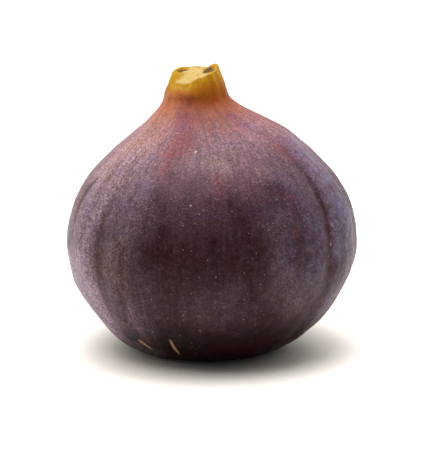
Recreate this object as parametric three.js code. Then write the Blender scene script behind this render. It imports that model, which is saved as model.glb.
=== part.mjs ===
// A whole fresh fig, standing on its base with the cut stub of its stalk up.
// Millimetres, +Z up. The origin is on the table, under the middle of the fruit; the front faces -Y.
//
// The fruit grew as one piece, so it is one closed solid. Its skin is an outline swept round an
// upright axis. The axis bends to one side at the neck, and shallow furrows and swellings run from
// the neck to the base. The stalk ends in an uneven cut that slants down to the front and left, with
// a knob of bark left standing at its right.

import * as THREE from "three";

// Size of the whole fruit
const WIDTH = 60;
const DEPTH = 57.5;
const HEIGHT = 59.6;

// Outline of the skin: radius and height of its main points, from the base up
const EYE_RADIUS = 3.6;
const EYE_DEPTH = 1.3;
const EYE_DOME_RADIUS = 2.2;
const EYE_DOME_TOP = 0.5; // how far the closed scales of the eye stay above the table
const FOOT_RADIUS = 12.4; // outer edge of the flat patch that the fruit rests on
const BELLY_RADIUS = 30;
const BELLY_HEIGHT = 22.4;
const SHOULDER_RADIUS = 17.6; // where the shoulder stops bulging and starts to hollow
const SHOULDER_HEIGHT = 44.7;
const SHOULDER_SLOPE = THREE.MathUtils.degToRad(42);
const NECK_RADIUS = 6.6;
const NECK_HEIGHT = 53.7;
const NECK_SLOPE = THREE.MathUtils.degToRad(80);
const STALK_RADIUS = 4.9;

// How far the outline holds its direction on each side of a main point
const FOOT_REACH = 9;
const BELLY_REACH_DOWN = 5.6;
const BELLY_REACH_UP = 13.4;
const SHOULDER_REACH_DOWN = 5.2;
const SHOULDER_REACH_UP = 6.1;
const NECK_REACH = 2.7;

// Sideways bends of the axis
const NECK_LEAN = -2.8; // at the stalk, towards -X
const NECK_LEAN_FROM = 45.5; // heights between which the axis moves across
const NECK_LEAN_TO = 54.3;
const FOOT_SHIFT = -0.5; // at the table, towards -X
const FOOT_SHIFT_TO = 12;

// The cut end of the stalk: its height, how far its middle is hollowed, and its knob and dips as
// places x, y from the middle of the stalk, height and radius
const CUT_HEIGHT = 58.4;
const CUT_DISH = 0.35;
const CUT_BUMPS = [
  { x: 3.9, y: 0.6, height: 1.4, radius: 1.9 }, // knob of bark left standing
  { x: -2.2, y: -5, height: -1.7, radius: 3 }, // slant down to the front
  { x: -5.5, y: -2.5, height: -1.8, radius: 2.8 }, // slant down to the left
];

// Furrows down the skin: azimuth in degrees from the front towards +X, depth, half-width in degrees
const FURROWS = [
  [-68, 0.34, 5],
  [-48, 0.42, 4.5],
  [-21, 0.2, 5],
  [4, 0.16, 5],
  [30, 0.22, 4.5],
  [54, 0.46, 4.5],
  [76, 0.3, 5],
  [98, 0.36, 5.5],
  [121, 0.3, 5],
  [149, 0.42, 5],
  [174, 0.24, 5.5],
  [203, 0.4, 5],
  [231, 0.3, 5],
  [258, 0.36, 5],
];

// Broad swellings of the whole skin: how many go round, height, azimuth of one in degrees
const SWELLINGS = [
  [2, 0.5, 23],
  [3, 0.85, -47],
  [5, 0.35, 5],
];

// Low bulges between the foot and the belly: azimuth in degrees, height over the table, how far the
// bulge stands out, half-width in degrees and half-height
const BULGES = [
  [-80, 13.3, 0.6, 32, 4.5],
  [140, 13, 0.5, 30, 5],
  [206, 12.5, 0.35, 24, 5],
];

// How strongly the furrows, swellings and bulges show along the outline, where 1 is full depth
const RELIEF_GROWN_BY = 0.6; // share of the curve from the foot to the belly in which they reach it
const RELIEF_AT_SHOULDER = 0.75;
const RELIEF_AT_NECK = 0.35;

// Fineness of the mesh
const STEPS_AROUND = 96;
const STEPS_EYE_DOME = 2;
const STEPS_EYE_SIDE = 2;
const STEPS_FOOT = 1;
const STEPS_BELLY = 13;
const STEPS_SHOULDER = 14;
const STEPS_NECK = 5;
const STEPS_STALK = 2;
const STEPS_CUT = 3;

const { smoothstep, lerp, degToRad } = THREE.MathUtils;

// One point of the outline: radius, height, outward normal in that plane, how strongly the furrows
// show there, and how far along the stub of the stalk it is (0 below the stub, 1 at its cut rim).
function station(radius, height, tangent, relief, stub = 0) {
  return { radius, height, normalR: tangent.y, normalZ: -tangent.x, relief, stub };
}

// Stations at even steps from just after 0 to 1.
function stationsOver(steps, stationAt) {
  return Array.from({ length: steps }, (_, i) => stationAt((i + 1) / steps));
}

// Stations along a curve of radius and height, without its first point.
function stationsAlong(curve, steps, strengthAt) {
  return stationsOver(steps, (t) => {
    const point = curve.getPoint(t);
    return station(point.x, point.y, curve.getTangent(t), strengthAt(t));
  });
}

function bezier(start, startHandle, endHandle, end) {
  return new THREE.CubicBezierCurve(start, start.clone().add(startHandle), end.clone().sub(endHandle), end);
}

function direction(slope, length) {
  return new THREE.Vector2(-Math.cos(slope), Math.sin(slope)).multiplyScalar(length);
}

// The eye: a low dome of closed scales in a shallow round hollow.
function eyeStations() {
  const level = new THREE.Vector2(1, 0);
  const dome = stationsOver(STEPS_EYE_DOME, (t) =>
    station(EYE_DOME_RADIUS * t, lerp(EYE_DOME_TOP, EYE_DEPTH, t ** 2), level, 0),
  );
  const side = stationsOver(STEPS_EYE_SIDE, (t) =>
    station(lerp(EYE_DOME_RADIUS, EYE_RADIUS, t), lerp(EYE_DEPTH, 0, t), level, 0),
  );
  return [...dome, ...side];
}

// The whole outline from the middle of the eye to the rim of the cut.
function outline() {
  const foot = new THREE.Vector2(FOOT_RADIUS, 0);
  const belly = new THREE.Vector2(BELLY_RADIUS, BELLY_HEIGHT);
  const shoulder = new THREE.Vector2(SHOULDER_RADIUS, SHOULDER_HEIGHT);
  const neck = new THREE.Vector2(NECK_RADIUS, NECK_HEIGHT);
  const upward = new THREE.Vector2(0, 1);
  const flat = new THREE.Vector2(1, 0);
  const resting = new THREE.LineCurve(new THREE.Vector2(EYE_RADIUS, 0), foot);
  const under = bezier(
    foot,
    flat.clone().multiplyScalar(FOOT_REACH),
    upward.clone().multiplyScalar(BELLY_REACH_DOWN),
    belly,
  );
  const over = bezier(
    belly,
    upward.clone().multiplyScalar(BELLY_REACH_UP),
    direction(SHOULDER_SLOPE, SHOULDER_REACH_DOWN),
    shoulder,
  );
  const throat = bezier(
    shoulder,
    direction(SHOULDER_SLOPE, SHOULDER_REACH_UP),
    direction(NECK_SLOPE, NECK_REACH),
    neck,
  );
  const stub = stationsOver(STEPS_STALK, (t) =>
    station(lerp(NECK_RADIUS, STALK_RADIUS, t), NECK_HEIGHT, upward, lerp(RELIEF_AT_NECK, 0, t), t),
  );
  return [
    ...eyeStations(),
    ...stationsAlong(resting, STEPS_FOOT, () => 0),
    ...stationsAlong(under, STEPS_BELLY, (t) => smoothstep(t, 0, RELIEF_GROWN_BY)),
    ...stationsAlong(over, STEPS_SHOULDER, (t) => lerp(1, RELIEF_AT_SHOULDER, t)),
    ...stationsAlong(throat, STEPS_NECK, (t) => lerp(RELIEF_AT_SHOULDER, RELIEF_AT_NECK, t)),
    ...stub,
  ];
}

// Difference between two angles in degrees, between -180 and 180.
function turn(a, b) {
  return THREE.MathUtils.euclideanModulo(a - b + 180, 360) - 180;
}

// Bell curve: 1 at a distance of 0, falling to a third at 1.
function bell(distance) {
  return Math.exp(-(distance ** 2));
}

// Sum of what a function gives for the values of each row of a table.
function total(table, valueOf) {
  return table.reduce((sum, row) => sum + valueOf(...row), 0);
}

// Lift of the skin over its smooth outline at an azimuth in degrees and a height over the table.
function reliefAt(azimuth, level) {
  const furrows = total(FURROWS, (at, depth, half) => -depth * bell(turn(azimuth, at) / half));
  const swellings = total(
    SWELLINGS,
    (count, height, at) => height * Math.cos(count * degToRad(azimuth - at)),
  );
  const bulges = total(
    BULGES,
    (at, middle, lift, half, halfHeight) =>
      lift * bell(turn(azimuth, at) / half) * bell((level - middle) / halfHeight),
  );
  return furrows + swellings + bulges;
}

// Sideways place of the axis at a height.
function axisAt(height) {
  const neck = NECK_LEAN * smoothstep(height, NECK_LEAN_FROM, NECK_LEAN_TO);
  return neck + FOOT_SHIFT * (1 - smoothstep(height, 0, FOOT_SHIFT_TO));
}

// Height of the cut over a point x, y from the middle of the stalk.
function cutHeight(x, y) {
  const inward = 1 - Math.min(1, Math.hypot(x, y) / STALK_RADIUS) ** 2;
  return CUT_BUMPS.reduce(
    (sum, { x: atX, y: atY, height, radius }) =>
      sum + height * bell(Math.hypot(x - atX, y - atY) / radius),
    CUT_HEIGHT - CUT_DISH * inward,
  );
}

// One point of the skin. An azimuth of 0 is the front, at -Y, and 90 is at +X.
function skinPoint(at, azimuth) {
  const lift = at.relief * reliefAt(azimuth, at.height);
  const radius = at.radius + lift * at.normalR;
  const angle = degToRad(azimuth);
  const x = radius * Math.sin(angle);
  const y = -radius * Math.cos(angle) * (DEPTH / WIDTH);
  const smoothHeight = at.height + lift * at.normalZ;
  const height = lerp(smoothHeight, cutHeight(x, y), at.stub);
  return new THREE.Vector3(x + axisAt(height), y, height);
}

// One point of the cut face, at a fraction of the way from its rim to its middle.
function cutPoint(inward, azimuth) {
  const radius = STALK_RADIUS * (1 - inward);
  const angle = degToRad(azimuth);
  const x = radius * Math.sin(angle);
  const y = -radius * Math.cos(angle) * (DEPTH / WIDTH);
  return new THREE.Vector3(x + NECK_LEAN, y, cutHeight(x, y));
}

// Rings of points from the eye to the cut, closed by one point at each end.
function figGeometry() {
  const azimuths = Array.from({ length: STEPS_AROUND }, (_, i) => (360 * i) / STEPS_AROUND);
  const rings = outline().map((at) => azimuths.map((azimuth) => skinPoint(at, azimuth)));
  for (let i = 1; i < STEPS_CUT; i += 1) {
    rings.push(azimuths.map((azimuth) => cutPoint(i / STEPS_CUT, azimuth)));
  }
  const eye = new THREE.Vector3(axisAt(0), 0, EYE_DOME_TOP);
  const pith = cutPoint(1, 0);
  const points = [eye, ...rings.flat(), pith];
  const corner = (ring, step) => 1 + ring * STEPS_AROUND + (step % STEPS_AROUND);
  const last = points.length - 1;
  const index = [];
  for (let step = 0; step < STEPS_AROUND; step += 1) {
    index.push(0, corner(0, step + 1), corner(0, step));
    for (let ring = 0; ring < rings.length - 1; ring += 1) {
      const [a, b] = [corner(ring, step), corner(ring, step + 1)];
      const [c, d] = [corner(ring + 1, step + 1), corner(ring + 1, step)];
      index.push(a, b, c, a, c, d);
    }
    index.push(last, corner(rings.length - 1, step), corner(rings.length - 1, step + 1));
  }
  const geometry = new THREE.BufferGeometry().setFromPoints(points);
  geometry.setIndex(index);
  return geometry;
}

// Brings a geometry to the fruit's exact size, centred over the origin with its base on the table.
function fitToSize(geometry) {
  geometry.computeBoundingBox();
  const size = geometry.boundingBox.getSize(new THREE.Vector3());
  const centre = geometry.boundingBox.getCenter(new THREE.Vector3());
  geometry.translate(-centre.x, -centre.y, 0);
  geometry.scale(WIDTH / size.x, DEPTH / size.y, HEIGHT / geometry.boundingBox.max.z);
  geometry.computeVertexNormals();
  return geometry;
}

const skin = new THREE.MeshStandardMaterial({ color: 0x55394a, roughness: 0.55, metalness: 0 });
const fig = new THREE.Mesh(fitToSize(figGeometry()), skin);
fig.name = "fig";

const part = new THREE.Group();
part.add(fig);

export default part;
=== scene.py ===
"""A whole ripe purple fig, standing on its base with the cut stub of its stalk up.

The skin is one closed surface from the eye under the base to the middle of the cut. Small scales
close the eye. Sizes are in millimetres and are turned into metres when a mesh is made. Azimuths are
in degrees from the front, at -Y, towards +X. An arc is a distance along the skin, in millimetres,
from the edge of the eye upwards.
"""

import logging
import math
from dataclasses import astuple, dataclass, field
from enum import Enum
from itertools import product
from typing import ClassVar, Sequence

import bpy
import numpy as np
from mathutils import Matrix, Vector
from numpy.typing import NDArray


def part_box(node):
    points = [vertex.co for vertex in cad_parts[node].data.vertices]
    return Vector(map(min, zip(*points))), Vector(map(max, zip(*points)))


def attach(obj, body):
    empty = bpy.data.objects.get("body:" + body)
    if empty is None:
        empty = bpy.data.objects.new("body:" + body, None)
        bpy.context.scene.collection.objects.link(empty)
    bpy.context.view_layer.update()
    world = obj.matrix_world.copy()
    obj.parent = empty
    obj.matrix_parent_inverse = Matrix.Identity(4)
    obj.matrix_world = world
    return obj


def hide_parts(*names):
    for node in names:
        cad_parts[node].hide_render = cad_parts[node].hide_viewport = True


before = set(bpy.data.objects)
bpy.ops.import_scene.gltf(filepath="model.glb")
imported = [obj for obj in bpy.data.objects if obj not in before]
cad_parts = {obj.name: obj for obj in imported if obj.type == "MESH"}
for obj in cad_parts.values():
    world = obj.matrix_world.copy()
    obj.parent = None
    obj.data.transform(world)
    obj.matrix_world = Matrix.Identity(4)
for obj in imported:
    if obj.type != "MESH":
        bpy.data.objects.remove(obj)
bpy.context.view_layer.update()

log = logging.getLogger("fig")

MM = 0.001

Array = NDArray[np.float64]
Colour = tuple[float, float, float]
Place = tuple[float, float, float]
Socket = bpy.types.NodeSocket


class Zone(Enum):
    """Stretches of the fruit's outline, from the eye up."""

    EYE_FLOOR = "eye floor"
    EYE_SIDE = "eye side"
    FOOT = "foot"
    BELLY = "belly"
    SHOULDER = "shoulder"
    THROAT = "throat"
    STUB = "stub"
    CUT = "cut"


class Mark(Enum):
    """Marks on the skin and the cut, each kept in an attribute of this name."""

    RISE = "rise"
    FURROW = "furrow"
    CREASE = "crease"
    WINE = "wine"
    RUSSET = "russet"
    BLUSH = "blush"
    SALMON = "salmon"
    BLOOM = "bloom"
    MIST = "mist"
    CRACK = "crack"
    CUT = "cut"
    RIND = "rind"
    STAIN = "stain"
    SPECK = "speck"
    FOOT = "foot"


class Mixing(Enum):
    """Ways to lay one colour over another."""

    OVER = "MIX"
    DARKEN = "MULTIPLY"


def ease(value: Array, low: float, high: float) -> Array:
    """Smooth step.

    Args:
        value: Any numbers.
        low: Where the step begins.
        high: Where it ends.

    Returns:
        0 up to low, 1 from high, and 3t^2 - 2t^3 of the fraction t between them.
    """
    t = np.clip((value - low) / (high - low), 0.0, 1.0)
    return t * t * (3.0 - 2.0 * t)


def mix(start: Array | float, end: Array | float, share: Array) -> Array:
    """Straight blend: start where share is 0, end where it is 1."""
    return start + (end - start) * share


def bell(distance: Array) -> Array:
    """Bell curve: 1 at a distance of 0, e to the minus square of the distance elsewhere."""
    return np.exp(-(distance**2))


def turn(azimuth: Array, start: Array | float) -> Array:
    """Difference of two azimuths in degrees, between -180 and 180."""
    return (azimuth - start + 180.0) % 360.0 - 180.0


# How many rows of points each zone has.
ROWS: dict[Zone, int] = {
    Zone.EYE_FLOOR: 5,
    Zone.EYE_SIDE: 8,
    Zone.FOOT: 15,
    Zone.BELLY: 74,
    Zone.SHOULDER: 68,
    Zone.THROAT: 38,
    Zone.STUB: 18,
    Zone.CUT: 20,
}


class Grain:
    """Smooth seeded noise, as random values on a repeating lattice blended between its corners."""

    SIDE = 32

    def __init__(self, seed: int) -> None:
        """Fills the lattice with even random values from -1 to 1.

        Args:
            seed: Number that settles the pattern.
        """
        self.values = np.random.default_rng(seed).uniform(-1.0, 1.0, (self.SIDE,) * 3)

    def at(self, points: Array, size: float) -> Array:
        """Noise at points: the eight lattice values round each, weighted by eased distances.

        Args:
            points: Places, with x, y and z last.
            size: Distance between lattice points, in the places' unit.

        Returns:
            One value a point, from -1 to 1.
        """
        scaled = points / size
        cell = np.floor(scaled).astype(int)
        part = ease(scaled - cell, 0.0, 1.0)
        total = np.zeros(points.shape[:-1])
        for corner in product((0, 1), repeat=3):
            near = np.where(np.array(corner) == 1, part, 1.0 - part)
            i, j, k = np.moveaxis((cell + np.array(corner)) % self.SIDE, -1, 0)
            total += near.prod(axis=-1) * self.values[i, j, k]
        return total

    def layered(self, points: Array, size: float, layers: int = 3) -> Array:
        """Noise of several sizes, each layer half the size and half the strength of the last.

        Args:
            points: Places, with x, y and z last.
            size: Size of the coarsest layer.
            layers: How many layers.

        Returns:
            One value a point, mostly between -1 and 1.
        """
        return sum(0.5**n * self.at(points + 7.3 * n, size * 0.5**n) for n in range(layers))


def ring_grain(azimuth: Array, knots: int, seed: int) -> Array:
    """Smooth seeded noise round a ring, eased between random values at even knots.

    Args:
        azimuth: Azimuths in degrees.
        knots: How many random values go round.
        seed: Number that settles the pattern.

    Returns:
        One value an azimuth, from -1 to 1.
    """
    values = np.random.default_rng(seed).uniform(-1.0, 1.0, knots)
    place = (azimuth % 360.0) * knots / 360.0
    knot = np.floor(place).astype(int)
    return mix(values[knot % knots], values[(knot + 1) % knots], ease(place - knot, 0.0, 1.0))


@dataclass(frozen=True)
class Stations:
    """Rows of the skin from the middle of the eye to the middle of the cut, one value a row.

    Attributes:
        radius: Distance from the axis.
        height: Height of the smooth outline.
        normal_r: Outward part of the outline's normal.
        normal_z: Upward part of the outline's normal.
        relief: How strongly furrows and swellings show, from 0 to 1.
        stub: 0 below the stub of the stalk, 1 at its cut rim and over the cut.
        inward: 0 outside the cut, 1 at its middle.
    """

    radius: Array
    height: Array
    normal_r: Array
    normal_z: Array
    relief: Array
    stub: Array
    inward: Array

    @classmethod
    def joined(cls, stretches: Sequence["Stations"]) -> "Stations":
        """One set of rows made of several, end to end."""
        return cls(*(np.concatenate(parts) for parts in zip(*(astuple(s) for s in stretches))))

    @property
    def arc(self) -> Array:
        """Distance along the outline, with the stub's rise counted in.

        Returns:
            The distance of each row from the edge of the eye, negative inside the eye.
        """
        steps = np.hypot(np.diff(self.radius), np.diff(self.height + Outline.stub_rise * self.stub))
        run = np.concatenate([[0.0], np.cumsum(steps)])
        return run - run[ROWS[Zone.EYE_FLOOR] + ROWS[Zone.EYE_SIDE] - 1]


@dataclass(frozen=True)
class Outline:
    """Side view of the fruit: radius and height of its main points and the curves between them."""

    eye_radius: float = 3.6
    eye_depth: float = 1.5
    eye_floor_radius: float = 2.4
    foot_radius: float = 12.4
    foot_reach: float = 9.0
    belly_radius: float = 30.0
    belly_height: float = 22.4
    belly_reach_down: float = 5.6
    belly_reach_up: float = 13.4
    shoulder_radius: float = 17.6
    shoulder_height: float = 44.7
    shoulder_slope: float = math.radians(42.0)
    shoulder_reach_down: float = 5.2
    shoulder_reach_up: float = 6.1
    neck_radius: float = 6.6
    neck_height: float = 53.7
    neck_slope: float = math.radians(80.0)
    neck_reach: float = 2.7
    stalk_radius: float = 4.9
    relief_grown_by: float = 0.6
    relief_at_shoulder: float = 0.75
    relief_at_neck: float = 0.35
    neck_lean: float = -2.8
    neck_lean_from: float = 45.5
    neck_lean_to: float = 54.3
    foot_shift: float = -0.5
    foot_shift_to: float = 12.0
    stub_rise: ClassVar[float] = 4.7

    def curve(self, points: Sequence[tuple[float, float]], zone: Zone, relief: Array) -> Stations:
        """Rows along a cubic curve: (1-t)^3 a + 3(1-t)^2 t b + 3(1-t) t^2 c + t^3 d.

        Args:
            points: Radius and height of the curve's four points.
            zone: Stretch that gives the number of rows.
            relief: How strongly the furrows show in each row.

        Returns:
            The rows, without the curve's first point.
        """
        a, b, c, d = np.array(points, dtype=float)
        t = self.steps(zone)[:, None]
        place = (1 - t) ** 3 * a + 3 * (1 - t) ** 2 * t * b + 3 * (1 - t) * t**2 * c + t**3 * d
        slope = (1 - t) ** 2 * (b - a) + 2 * (1 - t) * t * (c - b) + t**2 * (d - c)
        slope /= np.linalg.norm(slope, axis=1, keepdims=True)
        none = np.zeros(ROWS[zone])
        return Stations(place[:, 0], place[:, 1], slope[:, 1], -slope[:, 0], relief, none, none)

    @staticmethod
    def steps(zone: Zone) -> Array:
        """Even steps over a zone, from just after 0 to 1."""
        return np.arange(1, ROWS[zone] + 1) / ROWS[zone]

    def level(self, zone: Zone, radius: Array, height: Array) -> Stations:
        """Rows of the eye or the foot, whose normals point down and which carry no relief."""
        none = np.zeros(ROWS[zone])
        return Stations(radius, height, none, none - 1.0, none, none, none)

    def stations(self) -> Stations:
        """All rows, from the middle of the eye to the middle of the cut.

        Returns:
            The floor and side of the eye, the flat foot, three cubic curves through the belly and
            the shoulder to the neck, the stub, which narrows faster towards its end, and the cut.
        """
        shoulder_way = np.array([-math.cos(self.shoulder_slope), math.sin(self.shoulder_slope)])
        neck_way = np.array([-math.cos(self.neck_slope), math.sin(self.neck_slope)])
        foot = np.array([self.foot_radius, 0.0])
        belly = np.array([self.belly_radius, self.belly_height])
        shoulder = np.array([self.shoulder_radius, self.shoulder_height])
        neck = np.array([self.neck_radius, self.neck_height])
        up, out = np.array([0.0, 1.0]), np.array([1.0, 0.0])
        floor, side, flat, under, over, throat, stub, cut = (self.steps(zone) for zone in Zone)
        return Stations.joined([
            self.level(Zone.EYE_FLOOR, self.eye_floor_radius * floor, self.eye_depth + 0 * floor),
            self.level(
                Zone.EYE_SIDE,
                mix(self.eye_floor_radius, self.eye_radius, side),
                self.eye_depth * (1.0 - ease(side, 0.0, 1.0)),
            ),
            self.level(Zone.FOOT, mix(self.eye_radius, self.foot_radius, flat), 0 * flat),
            self.curve(
                [foot, foot + out * self.foot_reach, belly - up * self.belly_reach_down, belly],
                Zone.BELLY,
                ease(under, 0.0, self.relief_grown_by),
            ),
            self.curve(
                [
                    belly,
                    belly + up * self.belly_reach_up,
                    shoulder - shoulder_way * self.shoulder_reach_down,
                    shoulder,
                ],
                Zone.SHOULDER,
                mix(1.0, self.relief_at_shoulder, over),
            ),
            self.curve(
                [
                    shoulder,
                    shoulder + shoulder_way * self.shoulder_reach_up,
                    neck - neck_way * self.neck_reach,
                    neck,
                ],
                Zone.THROAT,
                mix(self.relief_at_shoulder, self.relief_at_neck, throat),
            ),
            Stations(
                mix(self.neck_radius, self.stalk_radius, (stub + stub**2) / 2),
                self.neck_height + 0 * stub,
                1.0 + 0 * stub,
                0 * stub,
                self.relief_at_neck * (1.0 - stub),
                stub,
                0 * stub,
            ),
            Stations(
                self.stalk_radius * (1.0 - cut * (1.0 - 0.5 / ROWS[Zone.CUT])),
                self.neck_height + 0 * cut,
                0 * cut,
                1.0 + 0 * cut,
                0 * cut,
                1.0 + 0 * cut,
                cut,
            ),
        ])

    def axis(self, height: Array) -> Array:
        """Sideways place of the axis at a height: it leans at the neck and shifts at the foot."""
        neck = self.neck_lean * ease(height, self.neck_lean_from, self.neck_lean_to)
        return neck + self.foot_shift * (1.0 - ease(height, 0.0, self.foot_shift_to))


@dataclass(frozen=True)
class Furrow:
    """One long shallow furrow from the neck to the foot.

    Attributes:
        azimuth: Where it crosses the belly.
        depth: Depth of its broad hollow.
        half_width: Half the hollow's width in degrees.
        top_turn: How far it turns between the belly and the neck, in degrees.
        low_turn: How far it turns between the belly and the foot, in degrees.
        tint: How dark its line is, from 0 to 1.
    """

    azimuth: float
    depth: float
    half_width: float
    top_turn: float = 0.0
    low_turn: float = 0.0
    tint: float = 0.4


@dataclass(frozen=True)
class Ribbing:
    """Furrows, broad swellings and fine veins that run from the neck to the foot.

    Attributes:
        furrows: The furrows, in order round the fruit.
        swellings: For each swelling, how many waves go round, their height and their azimuth.
        bulges: For each bulge, its azimuth, the height of its middle, its lift, its half-width in
            degrees and its half-height.
        belly_height: Height at which furrows have their own azimuths.
        top_height: Height at which they have turned in full.
        wander: How far their lines wind, in degrees.
        core_width: Width of a furrow's sharp middle, as a share of its hollow.
        core_depth: Depth of the middle, as a share of the hollow.
        core_fade: Heights between which the middle grows to its full depth.
        line_width: Width of a furrow's dark line over that of its middle.
        softened: Share of the furrows' depth that is used.
        vein_knots: How many places round the fruit settle the fine veins.
        vein_drift: How far veins wind, in degrees.
        broad_veins: Height of the broad veins over that of the fine ones.
    """

    furrows: tuple[Furrow, ...] = (
        Furrow(-68, 0.34, 5.0, 3, -2, 0.45),
        Furrow(-48, 0.42, 4.5, 2, -6, 0.8),
        Furrow(-21, 0.20, 5.0, -5, 2, 0.1),
        Furrow(4, 0.16, 5.0, 1, 2, 0.1),
        Furrow(30, 0.22, 4.5, 4, -3, 0.25),
        Furrow(54, 0.46, 4.5, 1, -3, 0.85),
        Furrow(76, 0.30, 5.0, -3, 2, 0.4),
        Furrow(98, 0.36, 5.5, 3, -3, 0.6),
        Furrow(121, 0.30, 5.0, -4, 2, 0.35),
        Furrow(149, 0.42, 5.0, 2, 4, 0.7),
        Furrow(174, 0.24, 5.5, -3, -2, 0.25),
        Furrow(203, 0.40, 5.0, 4, -4, 0.75),
        Furrow(231, 0.30, 5.0, -2, 3, 0.4),
        Furrow(258, 0.36, 5.0, 3, -2, 0.55),
    )
    swellings: tuple[tuple[int, float, float], ...] = ((2, 0.5, 23), (3, 0.85, -47), (5, 0.35, 5))
    bulges: tuple[tuple[float, float, float, float, float], ...] = (
        (-80, 13.3, 0.6, 32, 4.5),
        (140, 13.0, 0.5, 30, 5.0),
        (206, 12.5, 0.35, 24, 5.0),
    )
    belly_height: float = 22.4
    top_height: float = 48.0
    wander: float = 1.3
    wander_size: float = 8.0
    wander_apart: float = 5.7
    core_width: float = 0.22
    core_depth: float = 0.2
    core_fade: tuple[float, float] = (4.0, 13.0)
    line_width: float = 1.6
    softened: float = 0.7
    vein_knots: int = 110
    vein_height: float = 0.05
    vein_drift: float = 2.0
    vein_drift_size: float = 9.0
    broad_veins: float = 0.8
    seed: int = 5

    def offsets(self, azimuth: Array, height: Array) -> Array:
        """Degrees from each furrow's winding line.

        Args:
            azimuth: Azimuths, as columns.
            height: Heights, as rows.

        Returns:
            An array of rows, columns and furrows: the azimuth less that of the furrow's line, which
            is its belly azimuth, its turns eased in with height, and a small seeded wander.
        """
        grain = Grain(self.seed)
        share_up = ease(height, self.belly_height, self.top_height)[:, None]
        share_down = 1.0 - ease(height, 0.0, self.belly_height)[:, None]
        at, up, down = np.array([(f.azimuth, f.top_turn, f.low_turn) for f in self.furrows]).T
        ids = np.arange(len(self.furrows)) * self.wander_apart
        row, furrow = np.meshgrid(height, ids, indexing="ij")
        sway = grain.layered(np.stack([row, furrow, 0 * row], axis=-1), self.wander_size, 2)
        line = at + up * share_up + down * share_down + self.wander * sway
        return turn(azimuth[None, :, None], line[:, None, :])

    def lift(self, azimuth: Array, height: Array) -> Array:
        """Height over the smooth outline: cosine swellings and low bulges less the furrows.

        Args:
            azimuth: Azimuths, as columns.
            height: Heights, as rows.

        Returns:
            Swellings as cosines, plus a bell across and up for each bulge, less a broad and a
            narrow bell for each furrow.
        """
        depth, half = np.array([(f.depth, f.half_width) for f in self.furrows]).T
        away = self.offsets(azimuth, height) / half
        sharp = self.core_depth * ease(height, *self.core_fade)[:, None, None]
        core = sharp * bell(away / self.core_width)
        hollows = (self.softened * depth * (bell(away) + core)).sum(axis=-1)
        angle = np.radians(azimuth)
        waves = sum(h * np.cos(n * (angle - math.radians(at))) for n, h, at in self.swellings)
        bumps = sum(
            lift * bell((height - middle) / tall)[:, None] * bell(turn(azimuth, at) / wide)
            for at, middle, lift, wide, tall in self.bulges
        )
        return waves[None, :] + bumps - hollows

    def lines(self, azimuth: Array, height: Array) -> Array:
        """How dark each point is from the furrows' lines.

        Args:
            azimuth: Azimuths, as columns.
            height: Heights, as rows.

        Returns:
            The sum of narrow bells, each times its furrow's tint, up to 1.
        """
        tint, half = np.array([(f.tint, f.half_width) for f in self.furrows]).T
        away = self.offsets(azimuth, height) / (half * self.core_width * self.line_width)
        return np.clip((tint * bell(away)).sum(axis=-1), 0.0, 1.0)

    def veins(self, azimuth: Array, height: Array) -> Array:
        """Fine raised lines.

        Args:
            azimuth: Azimuths, as columns.
            height: Heights, as rows.

        Returns:
            Heights in millimetres: a fine and a broad ring noise, which drift apart with the sine
            of the height, added.
        """
        drift = self.vein_drift * np.sin(height / self.vein_drift_size)[:, None]
        fine = ring_grain(azimuth[None, :] + drift, self.vein_knots, self.seed)
        broad = ring_grain(azimuth[None, :] - drift, self.vein_knots // 4, self.seed + 1)
        return self.vein_height * (fine + self.broad_veins * broad)


@dataclass(frozen=True)
class Stroke:
    """A soft mark drawn along a line of azimuth and arc places.

    Attributes:
        mark: Which attribute it is kept in.
        path: Azimuth and arc of each point of the line; one point makes a spot.
        width: Half-width in millimetres at which the mark has faded to a third.
        strength: Strength at the middle of the line.
        depth: How far the skin is pressed in there, in millimetres.
    """

    mark: Mark
    path: tuple[tuple[float, float], ...]
    width: float
    strength: float = 1.0
    depth: float = 0.0


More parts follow.
